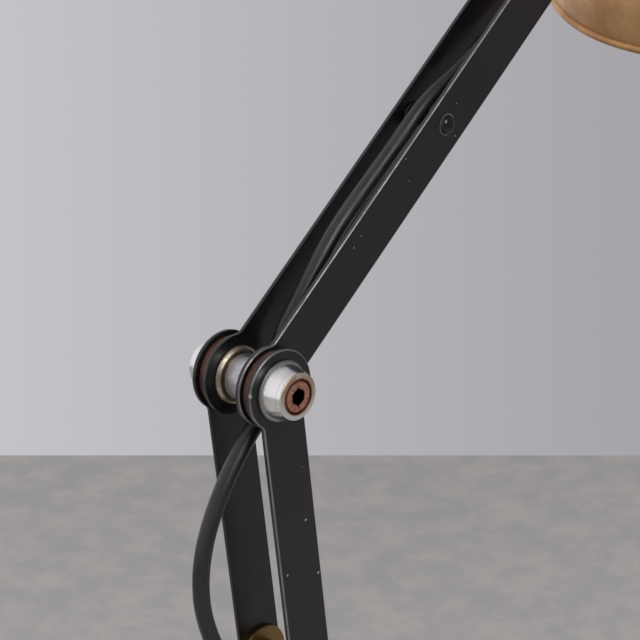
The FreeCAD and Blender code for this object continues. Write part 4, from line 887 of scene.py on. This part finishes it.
lens = bpy.data.cameras.new("camera")
lens.sensor_width = 36.0
lens.lens = 112.68
lens.clip_start, lens.clip_end = 0.01, 50.0
camera = shown("camera", lens)
camera_up = CAMERA_BACK.cross(CAMERA_RIGHT)
turn = Matrix((CAMERA_RIGHT, camera_up, CAMERA_BACK)).transposed().to_4x4()
camera_at = ELBOW + CAMERA_FROM_ELBOW
camera.matrix_world = Matrix.Translation(camera_at * MM) @ turn
bpy.context.scene.camera = camera

# ---------------------------------------------------------------- floor and light
# A plain pale table whose far edge shows behind the lower arm, a pale wall of light beyond it, and two soft lamps.

FLOOR_FAR = 1337.0
FLOOR_NEAR = 2400.0
FLOOR_HALF = 2200.0
ground_way = Vector((-CAMERA_BACK.x, -CAMERA_BACK.y, 0)).normalized()
floor = bmesh.new()
bmesh.ops.create_grid(floor, x_segments=1, y_segments=1, size=0.5)
bmesh.ops.scale(floor, vec=(2 * FLOOR_HALF * MM, (FLOOR_FAR + FLOOR_NEAR) * MM, 1), verts=floor.verts[:])
turn = Matrix((CAMERA_RIGHT, ground_way, Vector((0, 0, 1)))).transposed().to_4x4()
middle = Vector((camera_at.x, camera_at.y, 0)) + ground_way * (FLOOR_FAR - FLOOR_NEAR) / 2
bmesh.ops.transform(floor, matrix=Matrix.Translation(middle * MM) @ turn, verts=floor.verts[:])
mesh = bpy.data.meshes.new("floor")
floor.to_mesh(mesh)
floor.free()
material, tree, shader = surface("table_top", (0.57, 0.55, 0.54), roughness=0.6)
where = from_centre(tree)
paint(tree, shader, base_color=mixed(tree, fade(tree, noise(tree, where, 28.0, 4.0, 0.65), 0.32, 0.68),
                                     (0.52, 0.505, 0.505), (0.62, 0.59, 0.575)))
mesh.materials.append(material)
floor = shown("floor", mesh)


def lamp(name, way, away, size, watts):
    """A soft lamp this many millimetres from the elbow, in a direction from it, turned to face it."""
    data = bpy.data.lights.new(name, "AREA")
    data.shape = "RECTANGLE"
    data.size, data.size_y = size
    data.energy = watts
    made = shown(name, data)
    way = Vector(way).normalized()
    place = Matrix.Translation((ELBOW + way * away) * MM)
    made.matrix_world = place @ way.to_track_quat("Z", "Y").to_matrix().to_4x4()
    return made


key = lamp("key", (-0.45, 0.35, 0.82), 1300.0, (1.5, 1.5), 6.5)
key.visible_glossy = False
lamp("front", (-0.18, -0.8, 0.6), 1100.0, (0.5, 0.75), 5.0)

world = bpy.data.worlds.new("studio")
bpy.context.scene.world = world
world.use_nodes = True
tree = world.node_tree
sky = tree.nodes["Background"]
sky.inputs["Color"].default_value = (1, 1, 1, 1)
sky.inputs["Strength"].default_value = 0.35
way = add(tree, "TexCoord").outputs["Generated"]
sideways = add(tree, "VectorMath", {0: way, 1: CAMERA_RIGHT}, operation="DOT_PRODUCT").outputs["Value"]
wall = mixed(tree, fade(tree, sideways, -0.9, 0.55), (0.86, 0.84, 0.88), (0.28, 0.27, 0.29))
seen = add(tree, "Background", {"Color": wall, "Strength": 1.0})
path = add(tree, "LightPath").outputs
straight = maths(tree, "MAXIMUM", path["Is Camera Ray"], maths(tree, "MAXIMUM", path["Is Glossy Ray"],
                                                               path["Is Transmission Ray"]))
both = add(tree, "MixShader", {0: straight, 1: sky.outputs[0], 2: seen.outputs[0]})
tree.links.new(both.outputs[0], tree.nodes["World Output"].inputs["Surface"])
bpy.context.scene.view_settings.view_transform = "Standard"
